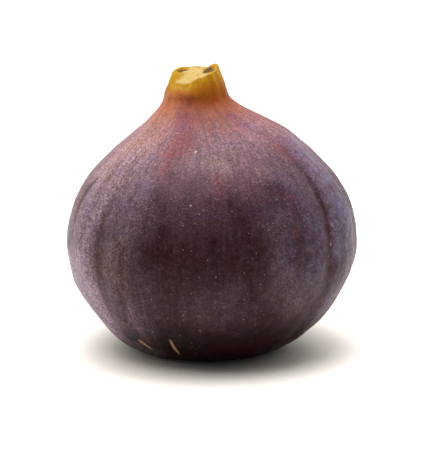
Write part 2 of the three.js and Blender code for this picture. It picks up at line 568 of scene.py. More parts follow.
# Each mark's strokes: path, width, strength and, where the skin is pressed in, depth.
STROKES: tuple[Stroke, ...] = tuple(
    Stroke(mark, *row)
    for mark, rows in {
        Mark.WINE: (
            # the dark flush round the front of the belly, and a band low on its right that is
            # painted shade
            (((-18, 48), (-16, 41), (-15, 35)), 2.6, 0.5),
            (((2, 46), (3, 41), (3, 35)), 2.4, 0.75, 0.05),
            (((13, 50), (15, 40)), 3.0, 0.55),
            (((-20, 43), (0, 41.5), (17, 44)), 5.0, 0.60),
            (((10, 53), (22, 52), (33, 53)), 3.4, 0.42),
            (((31, 56.5), (38, 55)), 2.8, 0.52),
            (((39.5, 51), (41, 48.5)), 1.2, 0.5, 0.08),
            # painted shade: these two bands darken the low right front of the belly, next to the
            # floor, as its shadow would
            (((6, 17.5), (26, 17.5), (44, 19), (58, 18)), 4.0, 0.95),
            (((10, 20.0), (26, 20.5), (40, 20.5)), 3.0, 0.55),
            (((45.5, 58.5), (46, 57.5)), 1.0, 0.7, 0.05),
            (((-24, 56), (-20, 52)), 2.2, 0.4),
            # painted shade: this wide faint band darkens the right shoulder, which the right lamp
            # lights more strongly than the left
            (((14, 73), (27, 66), (42, 62)), 6.0, 0.30),
            (((-36, 44), (-34, 38)), 1.6, 0.35),
            (((26, 29), (30, 24)), 3.0, 0.5),
            (((16, 38), (18, 33)), 0.9, 0.7, 0.06),
            # the same on the sides and the back
            (((88, 46), (94, 38)), 3.2, 0.8),
            (((112, 48), (108, 40)), 2.6, 0.7),
            (((138, 36), (146, 42), (160, 40)), 3.6, 0.7),
            (((176, 46), (178, 38)), 3.0, 0.8),
            (((196, 40), (206, 44)), 3.4, 0.7),
            (((226, 48), (224, 38)), 3.0, 0.75),
            (((250, 38), (262, 42)), 3.0, 0.6),
            (((112, 55), (118, 52)), 1.6, 0.6, 0.06),
            (((222, 30), (224, 24)), 1.4, 0.6, 0.05),
        ),
        Mark.RUSSET: (
            # warm brown bruises
            (((38, 54.6), (40.5, 53.6)), 0.7, 0.8),
            (((36, 47), (37.5, 45)), 1.4, 0.4),
            (((45, 58.8), (46, 57.6)), 0.7, 0.4),
            (((9, 64.5), (4, 63)), 1.5, 0.35),
            (((-72, 51), (-68, 47)), 2.4, 0.6),
            (((133, 57), (136, 55)), 1.2, 0.5),
            (((244, 50), (247, 47)), 1.6, 0.4),
            (((-12, 80), (-19, 75.5)), 2.4, 0.42),
            (((-4, 80), (2, 76)), 1.8, 0.32),
        ),
        Mark.BLUSH: (
            # magenta runs down from the neck
            (((-20, 74.5), (-24, 70), (-27, 66)), 2.8, 0.9),
            (((-27, 66), (-26, 60)), 2.4, 0.4),
            (((-15, 72), (-14, 66)), 1.8, 0.45),
            (((2, 75), (4, 71)), 1.6, 0.4),
            (((40, 75), (48, 70), (54, 62)), 1.9, 0.75),
            (((4, 60), (6, 56)), 2.0, 0.35),
            (((-36, 27), (-31, 21), (-28, 16)), 2.6, 0.2),
            (((-60, 20), (-46, 15), (-32, 13)), 2.6, 0.27),
            (((97, 77), (100, 70), (99, 62)), 2.4, 0.6),
            (((150, 77), (151, 69), (148, 60)), 2.2, 0.7),
            (((204, 78), (206, 70), (204, 64)), 2.6, 0.65),
            (((256, 76), (260, 69), (258, 63)), 2.2, 0.6),
        ),
        Mark.SALMON: (
            # paler orange skin on the left of the neck and the shoulders
            (((-50, 76), (-53, 71), (-58, 67)), 6.0, 0.85),
            (((-60, 64), (-64, 58)), 5.5, 0.45),
            (((-100, 77), (-106, 68)), 6.0, 0.5),
            (((58, 78), (62, 72)), 3.6, 0.4),
            (((120, 79), (124, 74)), 4.0, 0.32),
            (((176, 79), (178, 73)), 4.0, 0.35),
            (((30, 74), (46, 73)), 2.6, 0.3),
        ),
        Mark.BLOOM: (
            # waxy bloom; the strokes on the lower left edge are also painted reflection
            (((-60, 68), (-64, 56), (-66, 46)), 6.5, 0.56),
            (((-46, 66), (-54, 60)), 3.2, 0.66),
            (((-43, 70), (-44, 66), (-48, 58), (-52, 50)), 5.0, 0.50),
            (((-68, 44), (-66, 36)), 6.5, 0.56),
            # painted reflection: the next two strokes, far stronger than the wax elsewhere, paint
            # the pale rim of light from the white floor along the lower left edge
            (((-62, 37), (-60, 33), (-60, 27)), 5.3, 1.15),
            (((-74, 35), (-68, 28), (-66, 23)), 4.6, 1.9),
            (((-50, 28), (-48, 25)), 3.0, 0.3),
            # painted reflection: a faint pale band low on the left, light from the floor beside it
            (((-56, 22), (-45, 18), (-36, 16)), 2.6, 0.16),
            (((-36, 54), (-40, 44), (-43, 34)), 5.0, 0.20),
            (((-52, 54), (-55, 44), (-54.5, 31)), 3.2, 0.42),
            (((-37, 30), (-35, 25)), 3.8, 0.17),
            (((12, 68), (30, 69), (48, 71)), 5.0, 0.32),
            (((-4, 64), (6, 63)), 3.4, 0.30),
            (((-49, 72), (-55, 66)), 4.0, 0.30),
            (((-38, 62), (-34, 58)), 3.0, 0.28),
            (((26, 61), (44, 61)), 3.0, 0.10),
            (((73, 38), (69, 31), (64, 26)), 4.2, 0.26),
            (((-4, 30), (6, 33)), 4.0, 0.04),
            (((34, 36), (40, 31)), 4.0, 0.12),
            (((96, 58), (130, 62)), 8.0, 0.34),
            (((122, 36), (126, 28)), 5.0, 0.45),
            (((160, 62), (186, 54)), 7.0, 0.34),
            (((160, 30), (164, 24)), 5.0, 0.30),
            (((218, 64), (242, 56)), 7.0, 0.34),
            (((240, 36), (246, 26)), 6.0, 0.50),
            (((268, 60), (276, 48)), 6.0, 0.36),
            (((272, 38), (282, 30)), 6.0, 0.55),
        ),
        Mark.MIST: (
            # bluer bloom; the two strokes on the lower left edge are also painted reflection
            # painted reflection: the next two strokes paint part of the pale bluish rim of light
            # along the lower left edge
            (((-70, 34), (-65, 28), (-61, 22)), 3.4, 0.7),
            (((-60, 38), (-60, 33), (-60, 28)), 4.4, 0.80),
            (((20, 69), (30, 66), (41, 62)), 4.6, 0.14),
            (((66, 36), (63, 29)), 4.0, 0.30),
            (((68, 64), (67, 54), (66, 46)), 5.0, 0.85),
            (((72, 46), (70, 38), (67, 31)), 4.6, 0.75),
            (((58.5, 57), (58.5, 47), (58, 40)), 2.0, 0.75),
            (((46, 57), (47, 46), (46, 36)), 4.0, 0.38),
            (((31, 50), (31, 40)), 3.4, 0.30),
            (((-38, 61), (-34, 56)), 3.0, 0.22),
            (((-70, 39), (-66, 32)), 4.0, 0.55),
            (((2, 35), (8, 30)), 3.0, 0.10),
            (((-27, 38), (-26, 31)), 2.2, 0.09),
            (((96, 48), (100, 34)), 4.0, 0.30),
            (((122, 52), (128, 40)), 5.0, 0.50),
            (((188, 50), (190, 36)), 4.5, 0.45),
            (((214, 54), (216, 40)), 3.5, 0.35),
            (((240, 50), (242, 40)), 4.0, 0.40),
        ),
        Mark.CREASE: (
            # long creases, and last three small pits, all laid dark: partly the skin's own colour,
            # partly painted shade
            (((-65, 56), (-68, 51), (-69, 45.5)), 1.3, 0.78, 0.14),
            (((-46, 54), (-46.5, 46), (-46.5, 36), (-48.5, 24)), 1.7, 0.46, 0.12),
            (((-47, 52), (-47.5, 43), (-48.5, 31)), 0.6, 0.6, 0.05),
            (((-34, 44), (-36, 36), (-40, 26)), 1.3, 0.46, 0.06),
            (((44, 74), (53, 64), (56, 56)), 1.2, 0.22, 0.08),
            (((53, 64), (56, 56), (55, 44), (52, 35)), 1.5, 0.46, 0.11),
            (((55.5, 58), (55, 45)), 0.5, 0.8, 0.05),
            (((50, 66), (50.5, 58), (50, 50)), 0.6, 0.30, 0.04),
            (((100, 70), (98, 60), (99, 48), (97, 30)), 1.1, 0.5, 0.10),
            (((151, 71), (149, 62), (150, 50), (153, 32)), 1.2, 0.5, 0.12),
            (((206, 70), (204, 60), (203, 48), (200, 30)), 1.2, 0.5, 0.12),
            (((260, 67), (258, 58), (257, 46), (259, 32)), 1.1, 0.45, 0.09),
            (((5.4, 31.1),), 0.6, 0.9, 0.25),
            (((-5, 31.4),), 0.5, 0.5, 0.15),
            (((118, 34),), 0.6, 0.7, 0.2),
        ),
        Mark.SPECK: (
            # small pale scars
            (((57.0, 46.6), (57.3, 45.8)), 0.34, 0.8, -0.03),
            (((54.6, 42.8), (54.8, 42.3)), 0.34, 0.7, -0.03),
            (((52.8, 40.2),), 0.32, 0.7, -0.03),
            (((-8.5, 66),), 0.42, 1.0, -0.05),
            (((-33, 62.5),), 0.36, 0.6, -0.03),
            (((-35, 61.3),), 0.32, 0.5, -0.03),
            (((13, 67.5),), 0.35, 0.6, -0.03),
            (((2, 32), (3, 31.7)), 0.32, 0.5, 0.0),
            (((104, 50), (104.5, 49)), 0.4, 0.8, -0.03),
            (((133, 66),), 0.4, 0.8, -0.04),
            (((171, 46), (171.5, 45)), 0.4, 0.8, -0.03),
            (((212, 62),), 0.4, 0.7, -0.04),
            (((247, 43), (247.5, 42)), 0.38, 0.7, -0.03),
        ),
        Mark.CRACK: (
            # short splits in the skin near the base
            (((-39.2, 20.6), (-37, 18.6), (-35, 16.7)), 0.5, 0.9, 0.25),
            (((-19.6, 22), (-18.6, 19), (-17, 15.9)), 0.38, 0.78, 0.25),
            (((-47.5, 27.6), (-45.5, 26.6)), 0.4, 0.45, 0.1),
            (((141, 24), (143, 19.5)), 0.45, 0.9, 0.24),
            (((218, 21), (221, 17)), 0.42, 0.85, 0.22),
        ),
    }.items()
    for row in rows
)


@dataclass(frozen=True)
class CutSpot:
    """A mark, bump or dip on the cut, at x, y from the middle of the stalk.

    Attributes:
        x: Place to the right.
        y: Place to the back.
        radius: Radius at which it has faded to a third.
        rise: Height of a bump, negative for a dip.
        mark: Attribute that it shows in, or None for shape alone.
        strength: Strength of the mark.
    """

    x: float
    y: float
    radius: float
    rise: float = 0.0
    mark: Mark | None = None
    strength: float = 1.0


@dataclass(frozen=True)
class StalkCut:
    """The uneven cut end of the stalk, with a knob of bark left at its right.

    Attributes:
        height: Height of the cut's rim.
        dish: How far its middle lies lower.
        radius: Radius of the stalk at the cut.
        fillet: Width and drop of the rounded rim.
        bark_from: Place to the right where bark begins to cover the cut.
        bark_to: Place where it covers it in full.
        bark_edge_size: Size of the ragged turns of the bark's edge.
        lumps: Height of the unevenness.
        pits: Depth of the fine pits.
        spots: Bumps, dips and marks.
    """

    height: float = 58.4
    dish: float = 0.35
    radius: float = 4.9
    fillet: float = 0.5
    bark_from: float = 1.2
    bark_to: float = 1.9
    bark_edge_size: float = 2.4
    lumps: float = 0.13
    lump_size: float = 1.7
    pits: float = 0.07
    pit_size: float = 0.45
    spots: tuple[CutSpot, ...] = (
        CutSpot(3.9, 0.6, 1.9, 1.4),
        CutSpot(-2.2, -5.0, 3.0, -1.7),
        CutSpot(-5.5, -2.5, 2.8, -1.8),
        CutSpot(-3.1, 1.3, 0.8, -0.30, Mark.STAIN, 0.8),
        CutSpot(-2.0, 2.3, 0.9, -0.30, Mark.STAIN, 0.9),
        CutSpot(2.5, -0.7, 1.2, -0.40, Mark.STAIN, 0.9),
        # painted shade: this spot darkens the front of the bark knob, partly a stain of the cut and
        # partly its shade
        CutSpot(3.6, -1.7, 1.3, 0.0, Mark.STAIN, 0.42),
        CutSpot(1.8, 1.6, 0.9, -0.20, Mark.STAIN, 0.6),
        CutSpot(-1.5, -2.6, 0.35, -0.12, Mark.STAIN, 0.5),
        CutSpot(-0.3, -1.4, 0.30, -0.10, Mark.STAIN, 0.4),
        CutSpot(-4.4, -0.8, 1.9, 0.05, Mark.RIND, 1.0),
        CutSpot(-4.1, 1.4, 1.9, 0.0, Mark.RIND, 1.0),
        CutSpot(-2.6, 3.8, 1.5, 0.1, Mark.RIND, 1.0),
        CutSpot(0.8, 4.2, 1.2, 0.1, Mark.RIND, 0.6),
        CutSpot(0.8, -2.4, 0.9, 0.0, Mark.RIND, 0.5),
    )
    seed: int = 11

    def lift(self, x: Array, y: Array) -> Array:
        """Height of the cut over a point: a shallow dish, the spots' bells and pithy grain.

        Args:
            x: Places to the right of the stalk's middle.
            y: Places to the back of it.

        Returns:
            Heights in millimetres, rounded down towards the rim over the width of the fillet.
        """
        away = np.minimum(np.hypot(x, y) / self.radius, 1.0)
        height = self.height - self.dish * (1.0 - away**2)
        for spot in self.spots:
            height = height + spot.rise * bell(np.hypot(x - spot.x, y - spot.y) / spot.radius)
        grain = Grain(self.seed)
        place = np.stack([x, y, 0 * x], axis=-1)
        height = height + self.lumps * grain.layered(place, self.lump_size, 3)
        height = height - self.pits * grain.at(place, self.pit_size)
        edge = np.clip((away * self.radius - self.radius + self.fillet) / self.fillet, 0.0, 1.0)
        return height - self.fillet * edge**2

    def bark(self, x: Array, y: Array) -> Array:
        """Where bark covers the top of the stub: 0 on the open cut, 1 on the knob at the right."""
        ragged = Grain(self.seed).layered(np.stack([x, y, 0 * x], axis=-1), self.bark_edge_size)
        return ease(x + ragged, self.bark_from, self.bark_to)

    def mark(self, mark: Mark, x: Array, y: Array) -> Array:
        """Strength of one mark over the cut.

        Args:
            mark: The mark.
            x: Places to the right of the stalk's middle.
            y: Places to the back of it.

        Returns:
            The sum of its spots' bells, up to 1.
        """
        spots = [spot for spot in self.spots if spot.mark is mark]
        bells = [s.strength * bell(np.hypot(x - s.x, y - s.y) / s.radius) for s in spots]
        return np.clip(sum(bells), 0.0, 1.0)


@dataclass(frozen=True)
class Fit:
    """Move and stretch that brings the finished shape to the frame's box.

    Attributes:
        middle: Point that goes over the origin.
        scale: Stretch along each axis.
    """

    middle: Array
    scale: Array

    @classmethod
    def to_box(cls, points: Array, low: Vector, high: Vector) -> "Fit":
        """Works out the fit from the shape's own box to another.

        Args:
            points: Points of the shape in millimetres.
            low: Least corner of the box to fill, in metres.
            high: Greatest corner of it.

        Returns:
            The fit.
        """
        least, most = points.reshape(-1, 3).min(axis=0), points.reshape(-1, 3).max(axis=0)
        target_low, target_high = np.array(low) / MM, np.array(high) / MM
        scale = (target_high - target_low) / (most - least)
        return cls((least + most) / 2 - (target_low + target_high) / 2 / scale, scale)

    def place(self, points: Array) -> Array:
        """Points in millimetres put in their place and turned into metres."""
        return (points - self.middle) * self.scale * MM


def grid_faces(rows: int, around: int) -> list[list[int]]:
    """Faces of a closed surface of rings with one point at each end.

    Args:
        rows: How many rings.
        around: How many points each ring has.

    Returns:
        Corner lists for points that are stored as the first end, the rings in order, the last end:
        a fan of triangles, a grid of quads and another fan, all with the same way round.
    """
    step = np.arange(around)
    following = (step + 1) % around
    ring = 1 + around * np.arange(rows)[:, None]
    low, high = ring[:-1], ring[1:]
    quads = np.stack([low + step, low + following, high + following, high + step], axis=-1)
    last = 1 + rows * around
    first_fan = np.stack([0 * step, ring[0] + following, ring[0] + step], axis=-1)
    last_fan = np.stack([0 * step + last, ring[-1] + step, ring[-1] + following], axis=-1)
    return first_fan.tolist() + quads.reshape(-1, 4).tolist() + last_fan.tolist()


def closed_points(rings: Array) -> Array:
    """Rings of points with the mean of the first ring before them and of the last ring after."""
    ends = rings[0].mean(axis=0)[None], rings[-1].mean(axis=0)[None]
    return np.concatenate([ends[0], rings.reshape(-1, rings.shape[-1]), ends[1]])


def put_mesh(name: str, points: Array, faces: list[list[int]]) -> bpy.types.Object:
    """Makes a smooth mesh object whose place is in its points.

    Args:
        name: Name of the object and its mesh.
        points: Points in metres.
        faces: Corner lists.

    Returns:
        The object, at the origin, unturned and unscaled.
    """
    mesh = bpy.data.meshes.new(name)
    mesh.from_pydata(points.tolist(), [], faces)
    mesh.shade_smooth()
    mesh.update()
    made = bpy.data.objects.new(name, mesh)
    bpy.context.scene.collection.objects.link(made)
    return made


class Board:
    """Lays out the shader nodes of one material and joins them."""

    NODES_A_COLUMN = 6
    COLUMN_STEP = 220
    ROW_STEP = -260

    def __init__(self, name: str) -> None:
        """Starts a material with a skin shader joined to its output.

        Args:
            name: Name of the material.
        """
        self.material = bpy.data.materials.new(name)
        self.material.use_nodes = True
        self.tree = self.material.node_tree
        self.tree.nodes.clear()
        self.shader = self.node("ShaderNodeBsdfPrincipled", name)
        output = self.node("ShaderNodeOutputMaterial", "output")
        self.tree.links.new(self.shader.outputs["BSDF"], output.inputs["Surface"])

    def node(self, kind: str, label: str) -> bpy.types.Node:
        """Adds a labelled node at the next free place of the layout.

        Args:
            kind: Blender's name for the kind of node.
            label: What the node is for.

        Returns:
            The node.
        """
        made = self.tree.nodes.new(kind)
        made.label = label
        column, row = divmod(len(self.tree.nodes), self.NODES_A_COLUMN)
        made.location = (self.COLUMN_STEP * column, self.ROW_STEP * row)
        return made

    def feed(self, socket: Socket, value: Socket | float | Colour) -> None:
        """Joins a socket to another one, or gives it a value of its own.

        Args:
            socket: An input of a node.
            value: The output to join to it, or its number or colour.
        """
        if isinstance(value, bpy.types.NodeSocket):
            self.tree.links.new(value, socket)
        elif socket.type == "RGBA":
            socket.default_value = (*value, 1.0)
        else:
            socket.default_value = value

    def set(self, **values: Socket | float | Colour) -> None:
        """Feeds the shader's own sockets, named with underscores for spaces."""
        for name, value in values.items():
            self.feed(self.shader.inputs[name.replace("_", " ")], value)

    def place(self) -> Socket:
        """Place of the shaded point in the object, in metres."""
        return self.node("ShaderNodeTexCoord", "place").outputs["Object"]

    def mark(self, mark: Mark | str) -> Socket:
        """Value of one of the mesh's own attributes.

        Args:
            mark: The mark, or the attribute's name.

        Returns:
            Its strength, or its place where the attribute is the flow.
        """
        made = self.node("ShaderNodeAttribute", getattr(mark, "value", mark))
        made.attribute_name = made.label
        return made.outputs["Vector" if made.label == Skin.FLOW else "Fac"]

    def noise(self, place: Socket, label: str, size: float, detail: float = 3.0) -> Socket:
        """Cloudy noise.

        Args:
            place: Place to read it at.
            label: What the noise is for.
            size: Size of its largest clouds in millimetres.
            detail: How many finer layers lie on them.

        Returns:
            A level from 0 to 1.
        """
        made = self.node("ShaderNodeTexNoise", label)
        self.feed(made.inputs["Vector"], place)
        made.inputs["Scale"].default_value = 1.0 / (size * MM)
        made.inputs["Detail"].default_value = detail
        return made.outputs["Fac"]

    def cells(self, place: Socket, label: str, size: float) -> tuple[Socket, Socket]:
        """Cells of uneven shape.

        Args:
            place: Place to read them at.
            label: What the cells are for.
            size: Their size in millimetres.

        Returns:
            The distance from the cell's middle, in cells, and a random value for each cell.
        """
        made = self.node("ShaderNodeTexVoronoi", label)
        self.feed(made.inputs["Vector"], place)
        made.inputs["Scale"].default_value = 1.0 / (size * MM)
        parts = self.node("ShaderNodeSeparateColor", label)
        self.feed(parts.inputs["Color"], made.outputs["Color"])
        return made.outputs["Distance"], parts.outputs["Red"]

    def step(self, kind: str, first: Socket | float, second: Socket | float) -> Socket:
        """One step of arithmetic.

        Args:
            kind: Blender's name for the step, such as SUBTRACT or MAXIMUM.
            first: First value.
            second: Second value.

        Returns:
            The result.
        """
        made = self.node("ShaderNodeMath", kind.lower())
        made.operation = kind
        self.feed(made.inputs[0], first)
        self.feed(made.inputs[1], second)
        return made.outputs["Value"]

    def plus(self, first: Socket | float, second: Socket | float) -> Socket:
        """Sum of two values."""
        return self.step("ADD", first, second)

    def times(self, first: Socket | float, second: Socket | float) -> Socket:
        """Product of two values."""
        return self.step("MULTIPLY", first, second)

    def swing(self, noise: Socket, amount: float) -> Socket:
        """How far a noise is from its middle level of a half, times an amount."""
        return self.times(self.step("SUBTRACT", noise, 0.5), amount)

    def span(
        self, value: Socket, low: float, high: float, to_low: float = 0.0, to_high: float = 1.0
    ) -> Socket:
        """Eases a value's span onto another span, held at its ends.

        Args:
            value: The value.
            low: Value at which the span begins.
            high: Value at which it ends.
            to_low: Result up to low.
            to_high: Result from high.

        Returns:
            The result.
        """
        made = self.node("ShaderNodeMapRange", "span")
        made.interpolation_type = "SMOOTHSTEP"
        for socket, number in zip(made.inputs, (value, low, high, to_low, to_high)):
            self.feed(socket, number)
        return made.outputs["Result"]

    def ramp(self, value: Socket, stops: Sequence[tuple[float, Colour]], label: str) -> Socket:
        """Colour by a value.

        Args:
            value: The value, from 0 to 1.
            stops: Values with their colours, in order.
            label: What the colours are for.

        Returns:
            The colour, blended between stops.
        """
        made = self.node("ShaderNodeValToRGB", label)
        elements = made.color_ramp.elements
        elements.remove(elements[0])
        elements[0].position = stops[0][0]
        elements[0].color = (*stops[0][1], 1.0)
        for at, colour in stops[1:]:
            elements.new(at).color = (*colour, 1.0)
        self.feed(made.inputs["Fac"], value)
        return made.outputs["Color"]

    def lay(
        self,
        under: Socket | Colour,
        over: Socket | Colour,
        share: Socket | float,
        label: str,
        mixing: Mixing = Mixing.OVER,
    ) -> Socket:
        """Lays one colour over another.

        Args:
            under: The colour under it.
            over: The colour laid over.
            share: How much of it shows, from 0 to 1.
            label: What the new colour is.
            mixing: Whether it covers or darkens.

        Returns:
            The mixed colour.
        """
        made = self.node("ShaderNodeMix", label)
        made.data_type = "RGBA"
        made.blend_type = mixing.value
        self.feed(made.inputs[0], share)
        self.feed(made.inputs[6], under)
        self.feed(made.inputs[7], over)
        return made.outputs[2]

    def raise_by(self, height: Socket) -> Socket:
        """Bends the normals as a height would.

        Args:
            height: Height in millimetres.

        Returns:
            The bent normal.
        """
        made = self.node("ShaderNodeBump", "relief")
        made.inputs["Distance"].default_value = MM
        self.feed(made.inputs["Height"], height)
        return made.outputs["Normal"]


@dataclass(frozen=True)
class Pores:
    """Pale pores, as dots at the middles of some cells.

    Attributes:
        spacing: Size of the cells in millimetres.
        variation: How much the dots' sizes differ, in cells.
        rarity: How much is taken off every size, which leaves few dots.
        edge: How far inside its size a dot begins and is full, in cells.
        strength: How much of the pale colour shows.
    """

    spacing: float
    variation: float
    rarity: float
    edge: tuple[float, float]
    strength: float


@dataclass(frozen=True)
class SkinFinish:
    """Colours and gloss of ripe purple skin, its cut stalk and its marks, in linear light.

    Attributes:
        by_height: Ground colours at shares of the height, from the foot to the cut. The three
            lowest are painted shade: near black, standing in for the contact shadow under the
            belly.
        coats: For each broad mark, its colour and how fully it covers the ground.
        hues: Tints from warm to cool, at levels of a noise.
        hue_layers: Size in millimetres and strength of each layer of tints.
        clouds: Size in millimetres and detail of the broadest noise, as for the other noises.
        skin_cell: Size of the skin's cells in millimetres.
        height_swing: How far clouds and streaks shift the ground colour, in shares of the height.
        mark_edge: Strengths at which a mark begins to show and shows in full.
        ragged: How strongly noises break the edges of marks and stains.
        middling: Levels of a noise between which most of it lies.
        wax_by_streaks: Least and most wax in streaks, as for spots and cells.
        crease_gap: Strengths of a crease between which less wax lies in it, and what is left; the
            bare crease shows darker, partly as painted shade.
        neck_gap: Shares of the height between which wax ends at the neck, and what is left.
        shade_levels: Levels of a noise at which fine shading is darkest and gone.
        darkest: How dark fine streaks and dust make the skin.
        relief_heights: Heights in millimetres of mottling, dust, fibres and cells.
    """

    by_height: tuple[tuple[float, Colour], ...] = (
        # painted shade: the three lowest stops are darker than the skin's own colour, to stand in
        # for the contact shadow under the belly
        (0.000, (0.014, 0.004, 0.005)),
        (0.070, (0.009, 0.002, 0.003)),
        (0.140, (0.019, 0.005, 0.007)),
        (0.205, (0.043, 0.015, 0.020)),
        (0.275, (0.042, 0.015, 0.022)),
        (0.345, (0.041, 0.013, 0.020)),
        (0.410, (0.040, 0.011, 0.017)),
        (0.480, (0.048, 0.021, 0.028)),
        (0.550, (0.066, 0.034, 0.047)),
        (0.615, (0.084, 0.039, 0.058)),
        (0.685, (0.150, 0.077, 0.098)),
        (0.755, (0.245, 0.125, 0.142)),
        (0.820, (0.310, 0.122, 0.122)),
        (0.865, (0.345, 0.103, 0.052)),
        (0.895, (0.275, 0.060, 0.010)),
        (0.925, (0.300, 0.088, 0.005)),
        (0.965, (0.370, 0.150, 0.005)),
        (1.000, (0.470, 0.285, 0.008)),
    )
    coats: ClassVar[dict[Mark, tuple[Colour, float]]] = {
        Mark.SALMON: ((0.480, 0.178, 0.075), 0.80),
        Mark.BLUSH: ((0.280, 0.060, 0.070), 0.85),
        Mark.WINE: ((0.024, 0.002, 0.004), 0.90),
        Mark.RUSSET: ((0.130, 0.030, 0.020), 0.85),
        # painted shade, in part: furrow lines and creases are laid dark, both the skin's own dark
        # lines and the shade of the folds
        Mark.FURROW: ((0.050, 0.012, 0.014), 0.55),
        Mark.CREASE: ((0.050, 0.012, 0.014), 0.85),
        Mark.FOOT: ((0.080, 0.022, 0.028), 0.85),
    }
    bloom: Colour = (0.470, 0.370, 0.430)
    mist: Colour = (0.290, 0.265, 0.410)
    fleck: Colour = (0.480, 0.370, 0.380)
    split: Colour = (0.300, 0.190, 0.095)
    pith: Colour = (0.460, 0.330, 0.110)
    rind: Colour = (0.370, 0.190, 0.002)
    stain: Colour = (0.060, 0.022, 0.006)
    hues: tuple[tuple[float, Colour], ...] = (
        (0.36, (1.0, 0.90, 0.80)),
        (0.50, (0.96, 0.92, 0.93)),
        (0.64, (0.93, 0.84, 1.0)),
    )
    hue_layers: tuple[tuple[float, float], ...] = ((9.0, 0.5), (3.4, 0.5), (1.1, 0.4))
    hue_detail: float = 2.0
    clouds: tuple[float, float] = (7.0, 4.0)
    mottle: tuple[float, float] = (1.6, 4.0)
    dust: tuple[float, float] = (0.30, 2.0)
    streaks: tuple[float, float] = (2.4, 3.0)
    fibres: tuple[float, float] = (0.8, 2.0)
    skin_cell: float = 0.31
    pith_pores: tuple[float, float] = (0.5, 2.0)
    height_swing: tuple[float, float] = (0.10, 0.07)
    mark_edge: tuple[float, float] = (0.08, 0.75)
    ragged: float = 0.8
    middling: tuple[float, float] = (0.3, 0.7)
    wax_by_streaks: tuple[float, float] = (0.7, 1.2)
    wax_by_spots: tuple[float, float] = (0.88, 1.12)
    wax_by_cells: tuple[float, float] = (0.75, 1.25)
    mist_by_spots: tuple[float, float] = (0.35, 0.75)
    crease_gap: tuple[float, float, float, float] = (0.1, 0.6, 1.0, 0.3)
    neck_gap: tuple[float, float, float, float] = (0.86, 0.93, 1.0, 0.1)
    split_edge: tuple[float, float] = (0.25, 0.6)
    scar_edge: tuple[float, float, float, float] = (0.3, 0.8, 0.0, 0.8)
    stain_edge: tuple[float, float, float, float] = (0.3, 0.8, 0.0, 0.9)
    rind_edge: tuple[float, float] = (0.15, 0.75)
    rind_ragged: float = 1.2
    pith_edge: tuple[float, float, float, float] = (0.5, 0.75, 0.0, 0.5)
    thin_wax: tuple[float, float, float, float] = (0.35, 0.75, 0.0, 0.05)
    thin_wax_from: tuple[float, float] = (0.08, 0.25)
    calm_neck: tuple[float, float, float, float] = (0.80, 0.93, 1.0, 0.3)
    shade_levels: tuple[float, float] = (0.34, 0.62)
    darkest: tuple[float, float] = (0.80, 0.60)
    cell_shades: tuple[float, float] = (0.70, 1.08)
    pores: tuple[Pores, ...] = (
        Pores(0.8, 0.5, 0.30, (-0.05, 0.08), 0.35),
        Pores(4.2, 0.10, 0.055, (-0.015, 0.02), 0.8),
    )
    pore_height: float = 0.05
    pores_at_neck: tuple[float, float, float, float] = (0.86, 0.92, 1.0, 0.0)
    pores_at_foot: tuple[float, float, float, float] = (0.0, 0.06, 0.35, 1.0)
    relief_heights: tuple[float, float, float, float] = (0.10, 0.035, 0.05, -0.03)
    roughness: float = 0.42
    bloom_roughness: float = 0.58
    dull_share: float = 0.6
    roughness_swing: float = 0.25
    specular: float = 0.09

    def material(self) -> bpy.types.Material:
        """Builds the skin: colour by height, marks, streaks, bloom, flecks and fine relief.

        Returns:
            The material, which reads Object coordinates and the mesh's own attributes.
        """
        board = Board("fig_skin")
        place, flow = board.place(), board.mark(Skin.FLOW)
        clouds = board.noise(place, "broad clouds", *self.clouds)
        mottle = board.noise(place, "mottling", *self.mottle)
        dust = board.noise(place, "dust", *self.dust)
        streaks = board.noise(flow, "long streaks", *self.streaks)
        fibres = board.noise(flow, "fine streaks", *self.fibres)
        cell_edge, cell_luck = board.cells(place, "skin cells", self.skin_cell)
        colour = self.ground(board, clouds, streaks)
        colour = self.marks(board, colour, clouds, mottle, streaks)
        bloom = self.bloom_share(board, mottle, streaks, cell_luck)
        colour = board.lay(colour, self.bloom, bloom, "bloom")
        colour = board.lay(colour, self.mist, self.mist_share(board, mottle), "blue bloom")
        colour = self.mottled(board, colour, place, fibres, dust, cell_luck)
        flecks = self.flecks(board, place)
        scars = board.span(board.mark(Mark.SPECK), *self.scar_edge)
        colour = board.lay(colour, self.fleck, board.step("MAXIMUM", flecks, scars), "flecks")
        split = board.span(board.mark(Mark.CRACK), *self.split_edge)
        colour = board.lay(colour, self.split, split, "splits")
        cut = board.mark(Mark.CUT)
        dull_to = self.dull_share, self.roughness, self.bloom_roughness
        dull = board.span(board.plus(bloom, cut), 0.0, *dull_to)
        board.set(
            Base_Color=self.cut_face(board, colour, cut, place, dust),
            Roughness=board.plus(dull, board.swing(dust, self.roughness_swing)),
            Specular_IOR_Level=self.specular,
            Normal=self.relief(board, (mottle, dust, fibres, cell_edge), flecks),
        )
        return board.material

    def ground(self, board: Board, clouds: Socket, streaks: Socket) -> Socket:
        """Colour by height, with the height shifted a little.

        Args:
            board: Board of the material.
            clouds: Noise that shifts it broadly.
            streaks: Noise that shifts it in streaks.

        Returns:
            The colour.
        """
        by_clouds, by_streaks = self.height_swing
        shift = board.plus(board.swing(clouds, by_clouds), board.swing(streaks, by_streaks))
        height = board.plus(board.mark(Mark.RISE), shift)
        return board.ramp(height, self.by_height, "colour by height")

